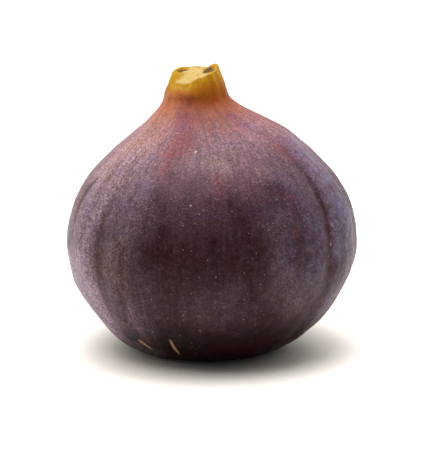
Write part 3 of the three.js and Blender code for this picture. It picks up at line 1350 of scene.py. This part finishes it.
    def marks(
        self, board: Board, colour: Socket, clouds: Socket, mottle: Socket, streaks: Socket
    ) -> Socket:
        """Lays the broad marks over the ground colour, with edges broken by noises.

        Args:
            board: Board of the material.
            colour: The ground colour.
            clouds: Noise that breaks the salmon patches.
            mottle: Noise that breaks most marks.
            streaks: Noise that breaks furrows, creases and, with the mottling, the dark flush.

        Returns:
            The colour.
        """
        breakers = {
            Mark.SALMON: clouds,
            Mark.WINE: board.plus(streaks, board.swing(mottle, 1.0)),
            Mark.FURROW: streaks,
            Mark.CREASE: streaks,
        }
        for mark, (tone, strength) in self.coats.items():
            rough = board.swing(breakers.get(mark, mottle), self.ragged)
            share = board.span(board.plus(board.mark(mark), rough), *self.mark_edge, 0.0, strength)
            colour = board.lay(colour, tone, share, mark.value)
        return colour

    def bloom_share(self, board: Board, mottle: Socket, streaks: Socket, luck: Socket) -> Socket:
        """How much pale wax lies on the skin: thick in patches, and thin all over. On the lower
        left edge the patches also paint a reflected rim of light.

        Args:
            board: Board of the material.
            mottle: Noise that breaks the wax in spots.
            streaks: Noise that breaks it in streaks.
            luck: Random value of each cell.

        Returns:
            The share, from 0 up, with less in creases and none on the stub.
        """
        thick = board.mark(Mark.BLOOM)
        for noise, wax in ((streaks, self.wax_by_streaks), (mottle, self.wax_by_spots)):
            thick = board.times(thick, board.span(noise, *self.middling, *wax))
        thick = board.times(thick, board.span(board.mark(Mark.CREASE), *self.crease_gap))
        rise = board.mark(Mark.RISE)
        thin = board.span(mottle, *self.thin_wax)
        thin = board.times(thin, board.span(rise, *self.thin_wax_from))
        by_cells = board.span(luck, 0.0, 1.0, *self.wax_by_cells)
        both = board.times(board.plus(thick, thin), by_cells)
        return board.times(both, board.span(rise, *self.neck_gap))

    def mist_share(self, board: Board, mottle: Socket) -> Socket:
        """How much bluish wax lies on the skin. On the lower left edge it also paints part of a
        reflected rim of light.

        Args:
            board: Board of the material.
            mottle: Noise that breaks it in spots.

        Returns:
            The share, from 0 to 1, with less in creases.
        """
        spots = board.span(mottle, *self.middling, *self.mist_by_spots)
        rubbed = board.span(board.mark(Mark.CREASE), *self.crease_gap)
        return board.times(board.times(board.mark(Mark.MIST), spots), rubbed)

    def mottled(
        self,
        board: Board,
        colour: Socket,
        place: Socket,
        fibres: Socket,
        dust: Socket,
        luck: Socket,
    ) -> Socket:
        """Breaks a colour up: warm and cool spots, fine streaks, and a shade of its own a cell.

        Args:
            board: Board of the material.
            colour: The colour.
            place: Place of the shaded point.
            fibres: Noise of the fine streaks.
            dust: Noise of the finest spots.
            luck: Random value of each cell.

        Returns:
            The broken colour, calmer towards the stub.
        """
        share = board.span(board.mark(Mark.RISE), *self.calm_neck)
        for size, strength in self.hue_layers:
            noise = board.noise(place, "hue", size, self.hue_detail)
            hue = board.ramp(noise, self.hues, "warm to cool")
            colour = board.lay(colour, hue, strength, "warm to cool", Mixing.DARKEN)
        for value, darkest in zip((fibres, dust), self.darkest):
            shade = board.span(value, *self.shade_levels, darkest, 1.0)
            colour = board.lay(colour, shade, share, "fine shading", Mixing.DARKEN)
        cells = board.span(luck, 0.0, 1.0, *self.cell_shades)
        return board.lay(colour, cells, share, "cell shading", Mixing.DARKEN)

    def flecks(self, board: Board, place: Socket) -> Socket:
        """Small pale pores: the middles of some cells, of random size.

        Args:
            board: Board of the material.
            place: Place of the shaded point.

        Returns:
            How much of the pale colour shows, with less at the foot and none on the stub.
        """
        dots = []
        for pores in self.pores:
            far, luck = board.cells(place, "pores", pores.spacing)
            wide = board.step("SUBTRACT", board.times(luck, pores.variation), pores.rarity)
            dot = board.span(board.step("SUBTRACT", wide, far), *pores.edge)
            dots.append(board.times(dot, pores.strength))
        rise = board.mark(Mark.RISE)
        shown = board.times(board.step("MAXIMUM", *dots), board.span(rise, *self.pores_at_neck))
        return board.times(shown, board.span(rise, *self.pores_at_foot))

    def cut_face(
        self, board: Board, colour: Socket, cut: Socket, place: Socket, dust: Socket
    ) -> Socket:
        """Lays the open cut over the skin: pale pith, yellow rind and brown stains, one of them
        partly painted shade on the front of the bark knob.

        Args:
            board: Board of the material.
            colour: The skin's colour.
            cut: Where the cut is open.
            place: Place of the shaded point.
            dust: Noise that breaks the edges of the stains.

        Returns:
            The colour.
        """
        pores = board.noise(place, "pith pores", *self.pith_pores)
        pith = board.lay(self.pith, self.rind, board.span(pores, *self.pith_edge), "pith")
        broken = board.plus(board.mark(Mark.RIND), board.swing(pores, self.rind_ragged))
        pith = board.lay(pith, self.rind, board.span(broken, *self.rind_edge), "rind")
        colour = board.lay(colour, pith, cut, "cut")
        stained = board.plus(board.mark(Mark.STAIN), board.swing(dust, self.ragged))
        return board.lay(colour, self.stain, board.span(stained, *self.stain_edge), "stain")

    def relief(self, board: Board, layers: Sequence[Socket], flecks: Socket) -> Socket:
        """Fine relief: mottling, dust, long fibres, cells and raised flecks.

        Args:
            board: Board of the material.
            layers: The noises, as high as relief_heights says.
            flecks: How much of each pore shows.

        Returns:
            The bent normal.
        """
        height = board.times(flecks, self.pore_height)
        for layer, amount in zip(layers, self.relief_heights):
            height = board.plus(height, board.times(layer, amount))
        return board.raise_by(height)


@dataclass(frozen=True)
class ScaleFinish:
    """Colours of the dry scales that close the eye, in linear light."""

    root: Colour = (0.100, 0.022, 0.028)
    tip: Colour = (0.270, 0.105, 0.060)
    edge: Colour = (0.045, 0.012, 0.010)
    root_to: float = 0.15
    tip_at: float = 0.72
    edge_from: float = 0.96
    grain_size: float = 0.35
    grain_swing: float = 0.35
    grain_height: float = 0.04
    roughness: float = 0.62

    def material(self) -> bpy.types.Material:
        """Builds the scales' finish: reddish at the root, tan and brown-edged at the tip.

        Returns:
            The material, which reads Object coordinates and how far along its scale a point is.
        """
        board = Board("eye_scale")
        grain = board.noise(board.place(), "scale grain", self.grain_size)
        along = board.plus(board.mark("along"), board.swing(grain, self.grain_swing))
        stops = (self.root_to, self.root), (self.tip_at, self.tip), (self.edge_from, self.edge)
        board.set(
            Base_Color=board.ramp(along, stops, "root to tip"),
            Roughness=self.roughness,
            Normal=board.raise_by(board.times(grain, self.grain_height)),
        )
        return board.material


@dataclass
class Skin:
    """The whole outside of the fruit as one closed surface.

    Attributes:
        around: How many points each row has.
        depth_share: Depth of the fruit over its width.
        wobble: Height of broad unevenness, as pebble is of small unevenness.
        small_relief_gain: How much faster small relief grows from the foot than furrows do.
        dimple_squash: Width of a dimple round the fruit over its length up the skin.
        stub_ridge: Height of the ridges round the stub, which start on the neck.
        ridge_knots: How many places settle the broad and the fine ridges.
        ridge_shares: Strength of the ridges on the neck, and what the stub adds.
        foot_wrinkle: Depth of the wrinkles that run in to the eye.
        tapered: Marks whose strokes narrow to their ends.
        taper: How much of its width such a stroke has lost at its ends.
        flow_radius: Radius of the cylinder that streaks are laid on.
        flow_squash: How much arcs are shortened on it, which makes the streaks long.
    """

    FLOW = "flow"

    outline: Outline = field(default_factory=Outline)
    ribbing: Ribbing = field(default_factory=Ribbing)
    cut: StalkCut = field(default_factory=StalkCut)
    strokes: tuple[Stroke, ...] = STROKES
    around: int = 400
    depth_share: float = 57.5 / 60.0
    wobble: float = 0.16
    wobble_size: float = 8.0
    pebble: float = 0.035
    pebble_size: float = 1.9
    pebble_shift: float = 50.0
    small_relief_gain: float = 1.6
    dimples: int = 90
    dimple_depth: float = 0.10
    dimple_arcs: tuple[float, float] = (16.0, 74.0)
    dimple_sizes: tuple[float, float] = (0.9, 2.2)
    dimple_squash: float = 0.8
    neck_heights: tuple[float, float] = (44.0, 53.0)
    stub_start: float = 0.4
    stub_ridge: float = 0.16
    ridge_knots: tuple[int, int] = (17, 41)
    fine_ridge: float = 0.6
    fine_ridge_seed: int = 3
    ridge_shares: tuple[float, float] = (0.35, 0.65)
    stub_lumps: float = 0.10
    stub_lump_size: float = 1.3
    stub_lump_stretch: tuple[float, float, float] = (1.0, 1.0, 0.6)
    foot_wrinkle: float = 0.05
    wrinkle_knots: int = 60
    wrinkle_fade: tuple[float, float] = (9.0, 14.0)
    foot_fade: tuple[float, float] = (2.0, 12.0)
    furrow_fade: tuple[float, float] = (40.0, 50.0)
    stub_top: tuple[float, float] = (0.75, 1.0)
    tapered: tuple[Mark, ...] = (Mark.CREASE, Mark.CRACK)
    taper: float = 0.7
    taper_power: int = 4
    flow_radius: float = 30.0
    flow_squash: float = 0.11
    flow_over_cut: float = 3.0
    seed: int = 23

    def __post_init__(self) -> None:
        """Works out the rows, columns and smooth places that every method reads."""
        self.rows = self.outline.stations()
        self.azimuth = np.arange(self.around) * 360.0 / self.around
        angle = np.radians(self.azimuth)
        self.ways = np.sin(angle), -np.cos(angle) * self.depth_share
        self.base = self.raised(self.rows.relief[:, None] * self.relief_lift())
        self.stroke_masks = [self.stroke_mask(stroke) for stroke in self.strokes]

    def relief_lift(self) -> Array:
        """Furrows and swellings of every point, before the rows' own strength."""
        return self.ribbing.lift(self.azimuth, self.rows.height)

    def raised(self, lift: Array) -> Array:
        """Points of the skin raised along the outline's normals.

        The radius is the row's plus the lift's outward part, and the height the row's plus its
        upward part. Over the stub the height blends to that of the cut. The axis is added last.

        Args:
            lift: Height over the smooth outline, by row and column.

        Returns:
            Points in millimetres, by row, column and axis.
        """
        rows = self.rows
        radius = rows.radius[:, None] + lift * rows.normal_r[:, None]
        x, y = radius * self.ways[0], radius * self.ways[1]
        height = rows.height[:, None] + lift * rows.normal_z[:, None]
        height = mix(height, self.cut.lift(x, y), rows.stub[:, None])
        return np.stack([x + self.outline.axis(height), y, np.maximum(height, 0.0)], axis=-1)

    def stroke_mask(self, stroke: Stroke) -> Array:
        """Bell of the distance to the stroke's line, measured over the skin.

        Azimuths become millimetres by the row's radius. Each part of the line gives a distance to
        its nearest point, and the least of them counts. Creases and splits narrow towards both
        ends of the line, by the fourth power of the distance from its middle.

        Args:
            stroke: The mark to draw.

        Returns:
            Strength from 0 to 1, by row and column.
        """
        path = np.array(stroke.path + stroke.path[-1:])
        reach = np.radians(1.0) * self.rows.radius[:, None]
        best = np.full((len(self.rows.radius), self.around), np.inf)
        passed = np.zeros_like(best)
        for number, ((az_0, arc_0), (az_1, arc_1)) in enumerate(zip(path[:-1], path[1:])):
            across = turn(self.azimuth[None, :], az_0) * reach
            along = self.rows.arc[:, None] - arc_0
            run_across, run_along = (az_1 - az_0) * reach, arc_1 - arc_0
            length = np.maximum(run_across**2 + run_along**2, 1e-9)
            share = np.clip((across * run_across + along * run_along) / length, 0.0, 1.0)
            away = np.hypot(across - share * run_across, along - share * run_along)
            passed = np.where(away < best, (number + share) / (len(path) - 2 or 1), passed)
            best = np.minimum(best, away)
        width = stroke.width
        if stroke.mark in self.tapered and len(path) > 2:
            width = width * (1.0 - self.taper * (2.0 * passed - 1.0) ** self.taper_power)
        return bell(best / width) * (self.rows.inward[:, None] == 0)

    def fine_lift(self) -> Array:
        """Small relief over the furrowed shape, in millimetres.

        It adds broad wobble, pebbles, veins and shallow dimples where the skin has relief, ridges
        round the stub, wrinkles that run in to the eye, and the strokes' own dents.

        Returns:
            Height along the outline's normals, by row and column.
        """
        rows, grain = self.rows, Grain(self.seed)
        on_skin = np.clip(rows.relief * self.small_relief_gain, 0.0, 1.0)[:, None]
        lift = self.wobble * grain.layered(self.base, self.wobble_size, 3)
        lift += self.pebble * grain.layered(self.base + self.pebble_shift, self.pebble_size, 2)
        lift += self.ribbing.veins(self.azimuth, rows.height)
        lift -= self.dimple_lift()
        lift *= on_skin
        outside = rows.inward == 0
        on_stub = (ease(rows.stub, 0.0, self.stub_start) * outside)[:, None]
        near_neck = (ease(rows.height, *self.neck_heights) * outside)[:, None]
        broad, fine = self.ridge_knots
        ridges = ring_grain(self.azimuth, broad, self.seed)
        ridges = ridges + self.fine_ridge * ring_grain(self.azimuth, fine, self.fine_ridge_seed)
        neck_share, stub_share = self.ridge_shares
        ridge_heights = self.stub_ridge * (neck_share * near_neck + stub_share * on_stub)
        lift += ridge_heights * ridges[None, :]
        stretched = self.base * self.stub_lump_stretch
        lift += self.stub_lumps * on_stub * grain.layered(stretched, self.stub_lump_size, 2)
        on_foot = ((rows.arc > 0) * (1.0 - ease(rows.arc, *self.wrinkle_fade)))[:, None]
        wrinkles = ring_grain(self.azimuth, self.wrinkle_knots, self.seed + 2)
        lift -= self.foot_wrinkle * on_foot * np.abs(wrinkles)[None, :]
        for stroke, mask in zip(self.strokes, self.stroke_masks):
            lift -= stroke.depth * mask
        return lift

    def dimple_lift(self) -> Array:
        """Depth of seeded shallow dimples.

        Returns:
            The sum of bells of the distance from each dimple's middle, by row and column.
        """
        rng = np.random.default_rng(self.seed)
        azimuths = rng.uniform(-180.0, 180.0, self.dimples)
        arcs = rng.uniform(*self.dimple_arcs, self.dimples)
        sizes = rng.uniform(*self.dimple_sizes, self.dimples)
        reach = np.radians(1.0) * self.rows.radius[:, None]
        total = np.zeros((len(self.rows.radius), self.around))
        for azimuth, arc, size in zip(azimuths, arcs, sizes):
            across = turn(self.azimuth[None, :], azimuth) * reach
            along = self.dimple_squash * (self.rows.arc[:, None] - arc)
            total += bell(np.hypot(across, along) / size)
        return self.dimple_depth * total

    def marks(self) -> dict[Mark, Array]:
        """Every mark's strength.

        Where strokes of one mark meet, the stronger one counts.

        Returns:
            For each mark, an array by row and column.
        """
        rows = self.rows
        grid = np.zeros((len(rows.radius), self.around))
        rise = rows.height + self.outline.stub_rise * rows.stub
        found = {mark: grid.copy() for mark in Mark}
        found[Mark.RISE] += rise[:, None] / (self.outline.neck_height + self.outline.stub_rise)
        found[Mark.FOOT] += (1.0 - ease(rows.arc, *self.foot_fade))[:, None]
        below_neck = (rows.relief * (1.0 - ease(rows.height, *self.furrow_fade)))[:, None]
        found[Mark.FURROW] += self.ribbing.lines(self.azimuth, rows.height) * below_neck
        for stroke, mask in zip(self.strokes, self.stroke_masks):
            found[stroke.mark] = np.maximum(found[stroke.mark], stroke.strength * mask)
        x, y = rows.radius[:, None] * self.ways[0], rows.radius[:, None] * self.ways[1]
        on_cut = (rows.inward > 0)[:, None]
        found[Mark.CUT] += on_cut * (1.0 - self.cut.bark(x, y))
        on_top = ease(rows.stub, *self.stub_top)[:, None]
        for mark in (Mark.RIND, Mark.STAIN):
            found[mark] += on_top * self.cut.mark(mark, x, y)
        return found

    def flow(self) -> Array:
        """Places on a cylinder, squashed along the arc, so that noise on them runs in streaks.

        Returns:
            Places in metres, by row, column and axis: radius times the sine and cosine of the
            azimuth, and the squashed arc, which runs on downwards over the cut.
        """
        angle = np.radians(self.azimuth)[None, :]
        level = (self.rows.arc * self.flow_squash)[:, None] + 0 * angle
        level = level - (self.rows.inward * self.flow_over_cut)[:, None]
        across = self.flow_radius + 0 * level
        return np.stack([across * np.sin(angle), -across * np.cos(angle), level], axis=-1) * MM

    def build(self) -> tuple[bpy.types.Object, Fit]:
        """Makes the skin's mesh, fitted to the frame's box, with its attributes.

        Returns:
            The object and the fit, which the scales of the eye use too.
        """
        points = self.raised(self.rows.relief[:, None] * self.relief_lift() + self.fine_lift())
        fit = Fit.to_box(points, *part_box("fig"))
        skin = put_mesh("fig_skin", fit.place(closed_points(points)), grid_faces(*points.shape[:2]))
        for mark, values in self.marks().items():
            self.keep(skin, mark.value, "FLOAT", closed_points(values[..., None]))
        self.keep(skin, self.FLOW, "FLOAT_VECTOR", closed_points(self.flow()))
        return skin, fit

    @staticmethod
    def keep(piece: bpy.types.Object, name: str, kind: str, values: Array) -> None:
        """Stores one value, or one vector, a point as an attribute of the mesh.

        Args:
            piece: Object whose mesh keeps it.
            name: Name of the attribute.
            kind: Blender's name for its type, FLOAT or FLOAT_VECTOR.
            values: The values, in the order of the points.
        """
        attribute = piece.data.attributes.new(name, kind, "POINT")
        field_name = "vector" if kind == "FLOAT_VECTOR" else "value"
        attribute.data.foreach_set(field_name, values.astype(np.float32).ravel())

    def dress(self, skin: bpy.types.Object, finish: SkinFinish) -> None:
        """Gives the skin its material and its place in the frame.

        Args:
            skin: The object.
            finish: Its colours and gloss.
        """
        skin.data.materials.append(finish.material())
        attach(skin, "root")
        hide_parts("fig")


@dataclass(frozen=True)
class EyeScales:
    """Three whorls of small overlapping scales that close the eye under the base.

    Attributes:
        whorls: For each whorl, how many scales, root radius, length, half-width, and the heights
            of root and tip over the table.
        middle_x: Place of the eye's middle, to the left of the stalk.
        root_width: Width of a scale at its root, as a share of its greatest width.
        point: Power that says how late a scale narrows, and the power of its roundness.
        sag: How far the middle of a scale hangs down.
        crown: How far its edges lie over its middle line.
        lowest: Least height over the table.
        length_luck: Least and greatest share of its length that a scale has.
        height_luck: How far a scale lies above or below its whorl.
        turn_luck: How far a scale is turned out of place, in shares of the gap between two.
    """

    whorls: tuple[tuple[int, float, float, float, float, float], ...] = (
        (9, 3.15, 1.9, 1.05, 0.75, 0.55),
        (7, 2.4, 1.8, 0.95, 0.95, 0.45),
        (5, 1.6, 1.75, 0.85, 1.1, 0.35),
    )
    middle_x: float = -0.5
    thickness: float = 0.11
    root_width: float = 0.72
    point: tuple[float, float] = (2.4, 0.7)
    sag: float = 0.22
    crown: float = 0.25
    lowest: float = 0.06
    length_luck: tuple[float, float] = (0.9, 1.08)
    height_luck: float = 0.05
    turn_luck: float = 0.12
    ends: tuple[float, float] = (0.02, 0.995)
    thin_end: float = 0.02
    rings: int = 12
    around: int = 14
    seed: int = 31

    def scale(self, whorl: int, number: int) -> Array:
        """One scale: flat ovals carried along a bent line from its root to its tip.

        With t from 0 at the root to 1 at the tip, the half-width grows with the sine of pi t and
        is multiplied by (1 - t^a)^b, where a and b are the two powers of point. The line sags by
        the sine of pi t, and the edges lie higher by the square of the distance from the line.

        Args:
            whorl: Index of the whorl.
            number: Index of the scale in it.

        Returns:
            Rings of points in millimetres.
        """
        count, root, length, half, root_z, tip_z = self.whorls[whorl]
        rng = np.random.default_rng(self.seed + 10 * whorl + number)
        late, round_by = self.point
        t = np.linspace(*self.ends, self.rings)[:, None]
        angle = np.linspace(0.0, 2 * math.pi, self.around, endpoint=False)[None, :]
        swell = self.root_width + (1.0 - self.root_width) * np.sin(math.pi * t)
        across = half * swell * (1.0 - t**late) ** round_by * np.cos(angle)
        thick = self.thickness * np.sqrt(np.clip(1.0 - (2 * t - 1) ** 6, self.thin_end, 1.0))
        inward = root - length * rng.uniform(*self.length_luck) * t
        sag = self.sag * np.sin(math.pi * t) - self.crown * (across / half) ** 2
        raised = rng.uniform(-self.height_luck, self.height_luck)
        height = mix(root_z, tip_z, t) - sag + thick * np.sin(angle) + raised
        turned = rng.uniform(-self.turn_luck, self.turn_luck)
        heading = 2 * math.pi * (number + 0.5 * whorl + turned) / count
        x = inward * math.sin(heading) + across * math.cos(heading)
        y = -inward * math.cos(heading) + across * math.sin(heading)
        return np.stack([x + self.middle_x, y, np.maximum(height, self.lowest)], axis=-1)

    def build(self, fit: Fit) -> bpy.types.Object:
        """Makes all scales as one mesh.

        Args:
            fit: The fit of the skin to the frame's box.

        Returns:
            The object, with how far each point is along its scale as an attribute.
        """
        ids = [(w, n) for w, whorl in enumerate(self.whorls) for n in range(whorl[0])]
        parts = [closed_points(self.scale(*pair)) for pair in ids]
        size = len(parts[0])
        faces = grid_faces(self.rings, self.around)
        joined = [[c + size * k for c in corners] for k in range(len(parts)) for corners in faces]
        scales = put_mesh("eye_scales", fit.place(np.concatenate(parts)), joined)
        along = np.linspace(0.0, 1.0, self.rings)[:, None, None] + np.zeros((1, self.around, 1))
        Skin.keep(scales, "along", "FLOAT", np.tile(closed_points(along), (len(parts), 1)))
        return scales

    def dress(self, scales: bpy.types.Object, finish: ScaleFinish) -> None:
        """Gives the scales their material and their place in the frame.

        Args:
            scales: The object.
            finish: Their colours and gloss.
        """
        scales.data.materials.append(finish.material())
        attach(scales, "root")


@dataclass(frozen=True)
class Studio:
    """Pale floor, two wide soft lamps nearly overhead, bright surroundings and the camera.

    Attributes:
        floor_half: Half the floor's side in metres.
        floor_shade: How dark the paper's grain makes the floor.
        lamps: For each lamp, its azimuth from the back towards the right and its elevation, in
            degrees, and its power.
        lamp_spread: Angle that each lamp takes up in the sky.
        dark_level: Strength of the surroundings in front.
        bright_level: Strength of the surroundings behind and above.
        bright_way: Direction in which they are brightest.
        bright_span: Shares of that direction over which they go from dark to bright.
        backdrop_level: Strength of the surroundings where the camera sees them.
        camera_far: Distance of the camera from its target, in metres.
        camera_up: Its elevation.
        camera_target: Point that it stands back from.
        camera_aim: Point in the middle of its view.
        lens: Focal length in millimetres, for a sensor as wide as sensor.
        clip: Nearest and furthest distance that it sees, in metres.
    """

    floor_half: float = 3.0
    floor_colour: Colour = (0.970, 0.935, 0.885)
    floor_shade: float = 0.97
    floor_grain: float = 1.5
    floor_roughness: float = 0.75
    floor_specular: float = 0.2
    lamps: tuple[tuple[float, float, float], ...] = ((-108.0, 79.0, 2.39), (35.0, 76.0, 1.33))
    lamp_spread: float = math.radians(48.0)
    dark_level: float = 0.08
    bright_level: float = 1.3
    bright_colour: Colour = (1.0, 0.97, 0.93)
    bright_way: Place = (-0.20, 0.80, 0.55)
    bright_span: tuple[float, float] = (-0.15, 0.55)
    backdrop_level: float = 1.05
    backdrop_colour: Colour = (1.0, 1.0, 1.0)
    camera_far: float = 0.5
    camera_up: float = math.radians(14.0)
    camera_target: Place = (0.0, 0.0, 0.0295)
    camera_aim: Place = (0.0, 0.0, 0.0234)
    lens: float = 204.6
    sensor: float = 36.0
    clip: tuple[float, float] = (0.01, 50.0)

    def floor(self) -> bpy.types.Object:
        """Makes the floor: a plain pale sheet of paper, wide enough to fade into the light.

        Returns:
            The object.
        """
        half = self.floor_half
        corners = np.array([(-half, -half, 0), (half, -half, 0), (half, half, 0), (-half, half, 0)])
        floor = put_mesh("floor", corners, [[0, 1, 2, 3]])
        board = Board("paper")
        grain = board.noise(board.place(), "paper grain", self.floor_grain)
        shade = tuple(self.floor_shade * part for part in self.floor_colour)
        board.set(
            Base_Color=board.lay(self.floor_colour, shade, grain, "paper"),
            Roughness=self.floor_roughness,
            Specular_IOR_Level=self.floor_specular,
        )
        floor.data.materials.append(board.material)
        return floor

    def lamp(self, azimuth: float, elevation: float, power: float) -> bpy.types.Object:
        """Makes one wide soft sun that shines down on the fruit.

        Args:
            azimuth: Where it stands, in degrees from the back towards the right.
            elevation: How high it stands, in degrees.
            power: Its strength.

        Returns:
            The object.
        """
        light = bpy.data.lights.new("soft_lamp", "SUN")
        light.energy = power
        light.angle = self.lamp_spread
        lamp = bpy.data.objects.new("soft_lamp", light)
        side, up = math.radians(azimuth), math.radians(elevation)
        level = math.cos(up)
        way = Vector((math.sin(side) * level, math.cos(side) * level, math.sin(up)))
        lamp.rotation_euler = way.to_track_quat("Z", "Y").to_euler()
        bpy.context.scene.collection.objects.link(lamp)
        return lamp

    def brightness(self, tree: bpy.types.NodeTree) -> Socket:
        """Strength of the surroundings by direction: bright behind and above, dark in front.

        Args:
            tree: Nodes of the world.

        Returns:
            The dot product of the direction and bright_way, eased from dark to bright.
        """
        way = tree.nodes.new("ShaderNodeTexCoord").outputs["Generated"]
        weigh = tree.nodes.new("ShaderNodeVectorMath")
        weigh.operation = "DOT_PRODUCT"
        weigh.inputs[1].default_value = self.bright_way
        tree.links.new(way, weigh.inputs[0])
        level = tree.nodes.new("ShaderNodeMapRange")
        level.interpolation_type = "SMOOTHSTEP"
        numbers = (*self.bright_span, self.dark_level, self.bright_level)
        for socket, number in zip(level.inputs[1:], numbers):
            socket.default_value = number
        tree.links.new(weigh.outputs["Value"], level.inputs[0])
        return level.outputs["Result"]

    def surround(self) -> bpy.types.World:
        """Makes the world: it lights the fruit by direction, and is white to the camera.

        Returns:
            The world.
        """
        world = bpy.data.worlds.new("studio")
        world.use_nodes = True
        tree = world.node_tree
        tree.nodes.clear()
        light = tree.nodes.new("ShaderNodeBackground")
        light.inputs["Color"].default_value = (*self.bright_colour, 1.0)
        tree.links.new(self.brightness(tree), light.inputs["Strength"])
        backdrop = tree.nodes.new("ShaderNodeBackground")
        backdrop.inputs["Color"].default_value = (*self.backdrop_colour, 1.0)
        backdrop.inputs["Strength"].default_value = self.backdrop_level
        seen = tree.nodes.new("ShaderNodeLightPath").outputs["Is Camera Ray"]
        chosen = tree.nodes.new("ShaderNodeMixShader")
        for socket, source in zip(chosen.inputs, (seen, light.outputs[0], backdrop.outputs[0])):
            tree.links.new(source, socket)
        output = tree.nodes.new("ShaderNodeOutputWorld")
        tree.links.new(chosen.outputs[0], output.inputs[0])
        bpy.context.scene.world = world
        return world

    def camera(self) -> bpy.types.Object:
        """Makes the camera, a little above the fruit and far enough for a flat view.

        Returns:
            The object.
        """
        lens = bpy.data.cameras.new("camera")
        lens.lens = self.lens
        lens.sensor_width = self.sensor
        lens.sensor_fit = "HORIZONTAL"
        lens.clip_start, lens.clip_end = self.clip
        camera = bpy.data.objects.new("camera", lens)
        back = Vector((0.0, -math.cos(self.camera_up), math.sin(self.camera_up)))
        camera.location = Vector(self.camera_target) + back * self.camera_far
        way = Vector(self.camera_aim) - camera.location
        camera.rotation_euler = way.to_track_quat("-Z", "Y").to_euler()
        bpy.context.scene.collection.objects.link(camera)
        bpy.context.scene.camera = camera
        return camera

    def build(self) -> None:
        """Sets up floor, lamps, surroundings, camera and plain colour output."""
        self.floor()
        for azimuth, elevation, power in self.lamps:
            self.lamp(azimuth, elevation, power)
        self.surround()
        self.camera()
        bpy.context.scene.view_settings.view_transform = "Standard"
        bpy.context.scene.view_settings.look = "None"


def main() -> None:
    """Builds the fig, its eye and the studio, and reports each."""
    logging.basicConfig(level=logging.INFO, format="%(name)s: %(message)s")
    skin = Skin()
    fig, fit = skin.build()
    skin.dress(fig, SkinFinish())
    log.info("%s: %d points, %d faces", fig.name, len(fig.data.vertices), len(fig.data.polygons))
    eye = EyeScales()
    scales = eye.build(fit)
    eye.dress(scales, ScaleFinish())
    log.info("%s: %d points", scales.name, len(scales.data.vertices))
    Studio().build()
    log.info("studio: floor, lamps, surroundings and camera")


if __name__ == "__main__":
    main()
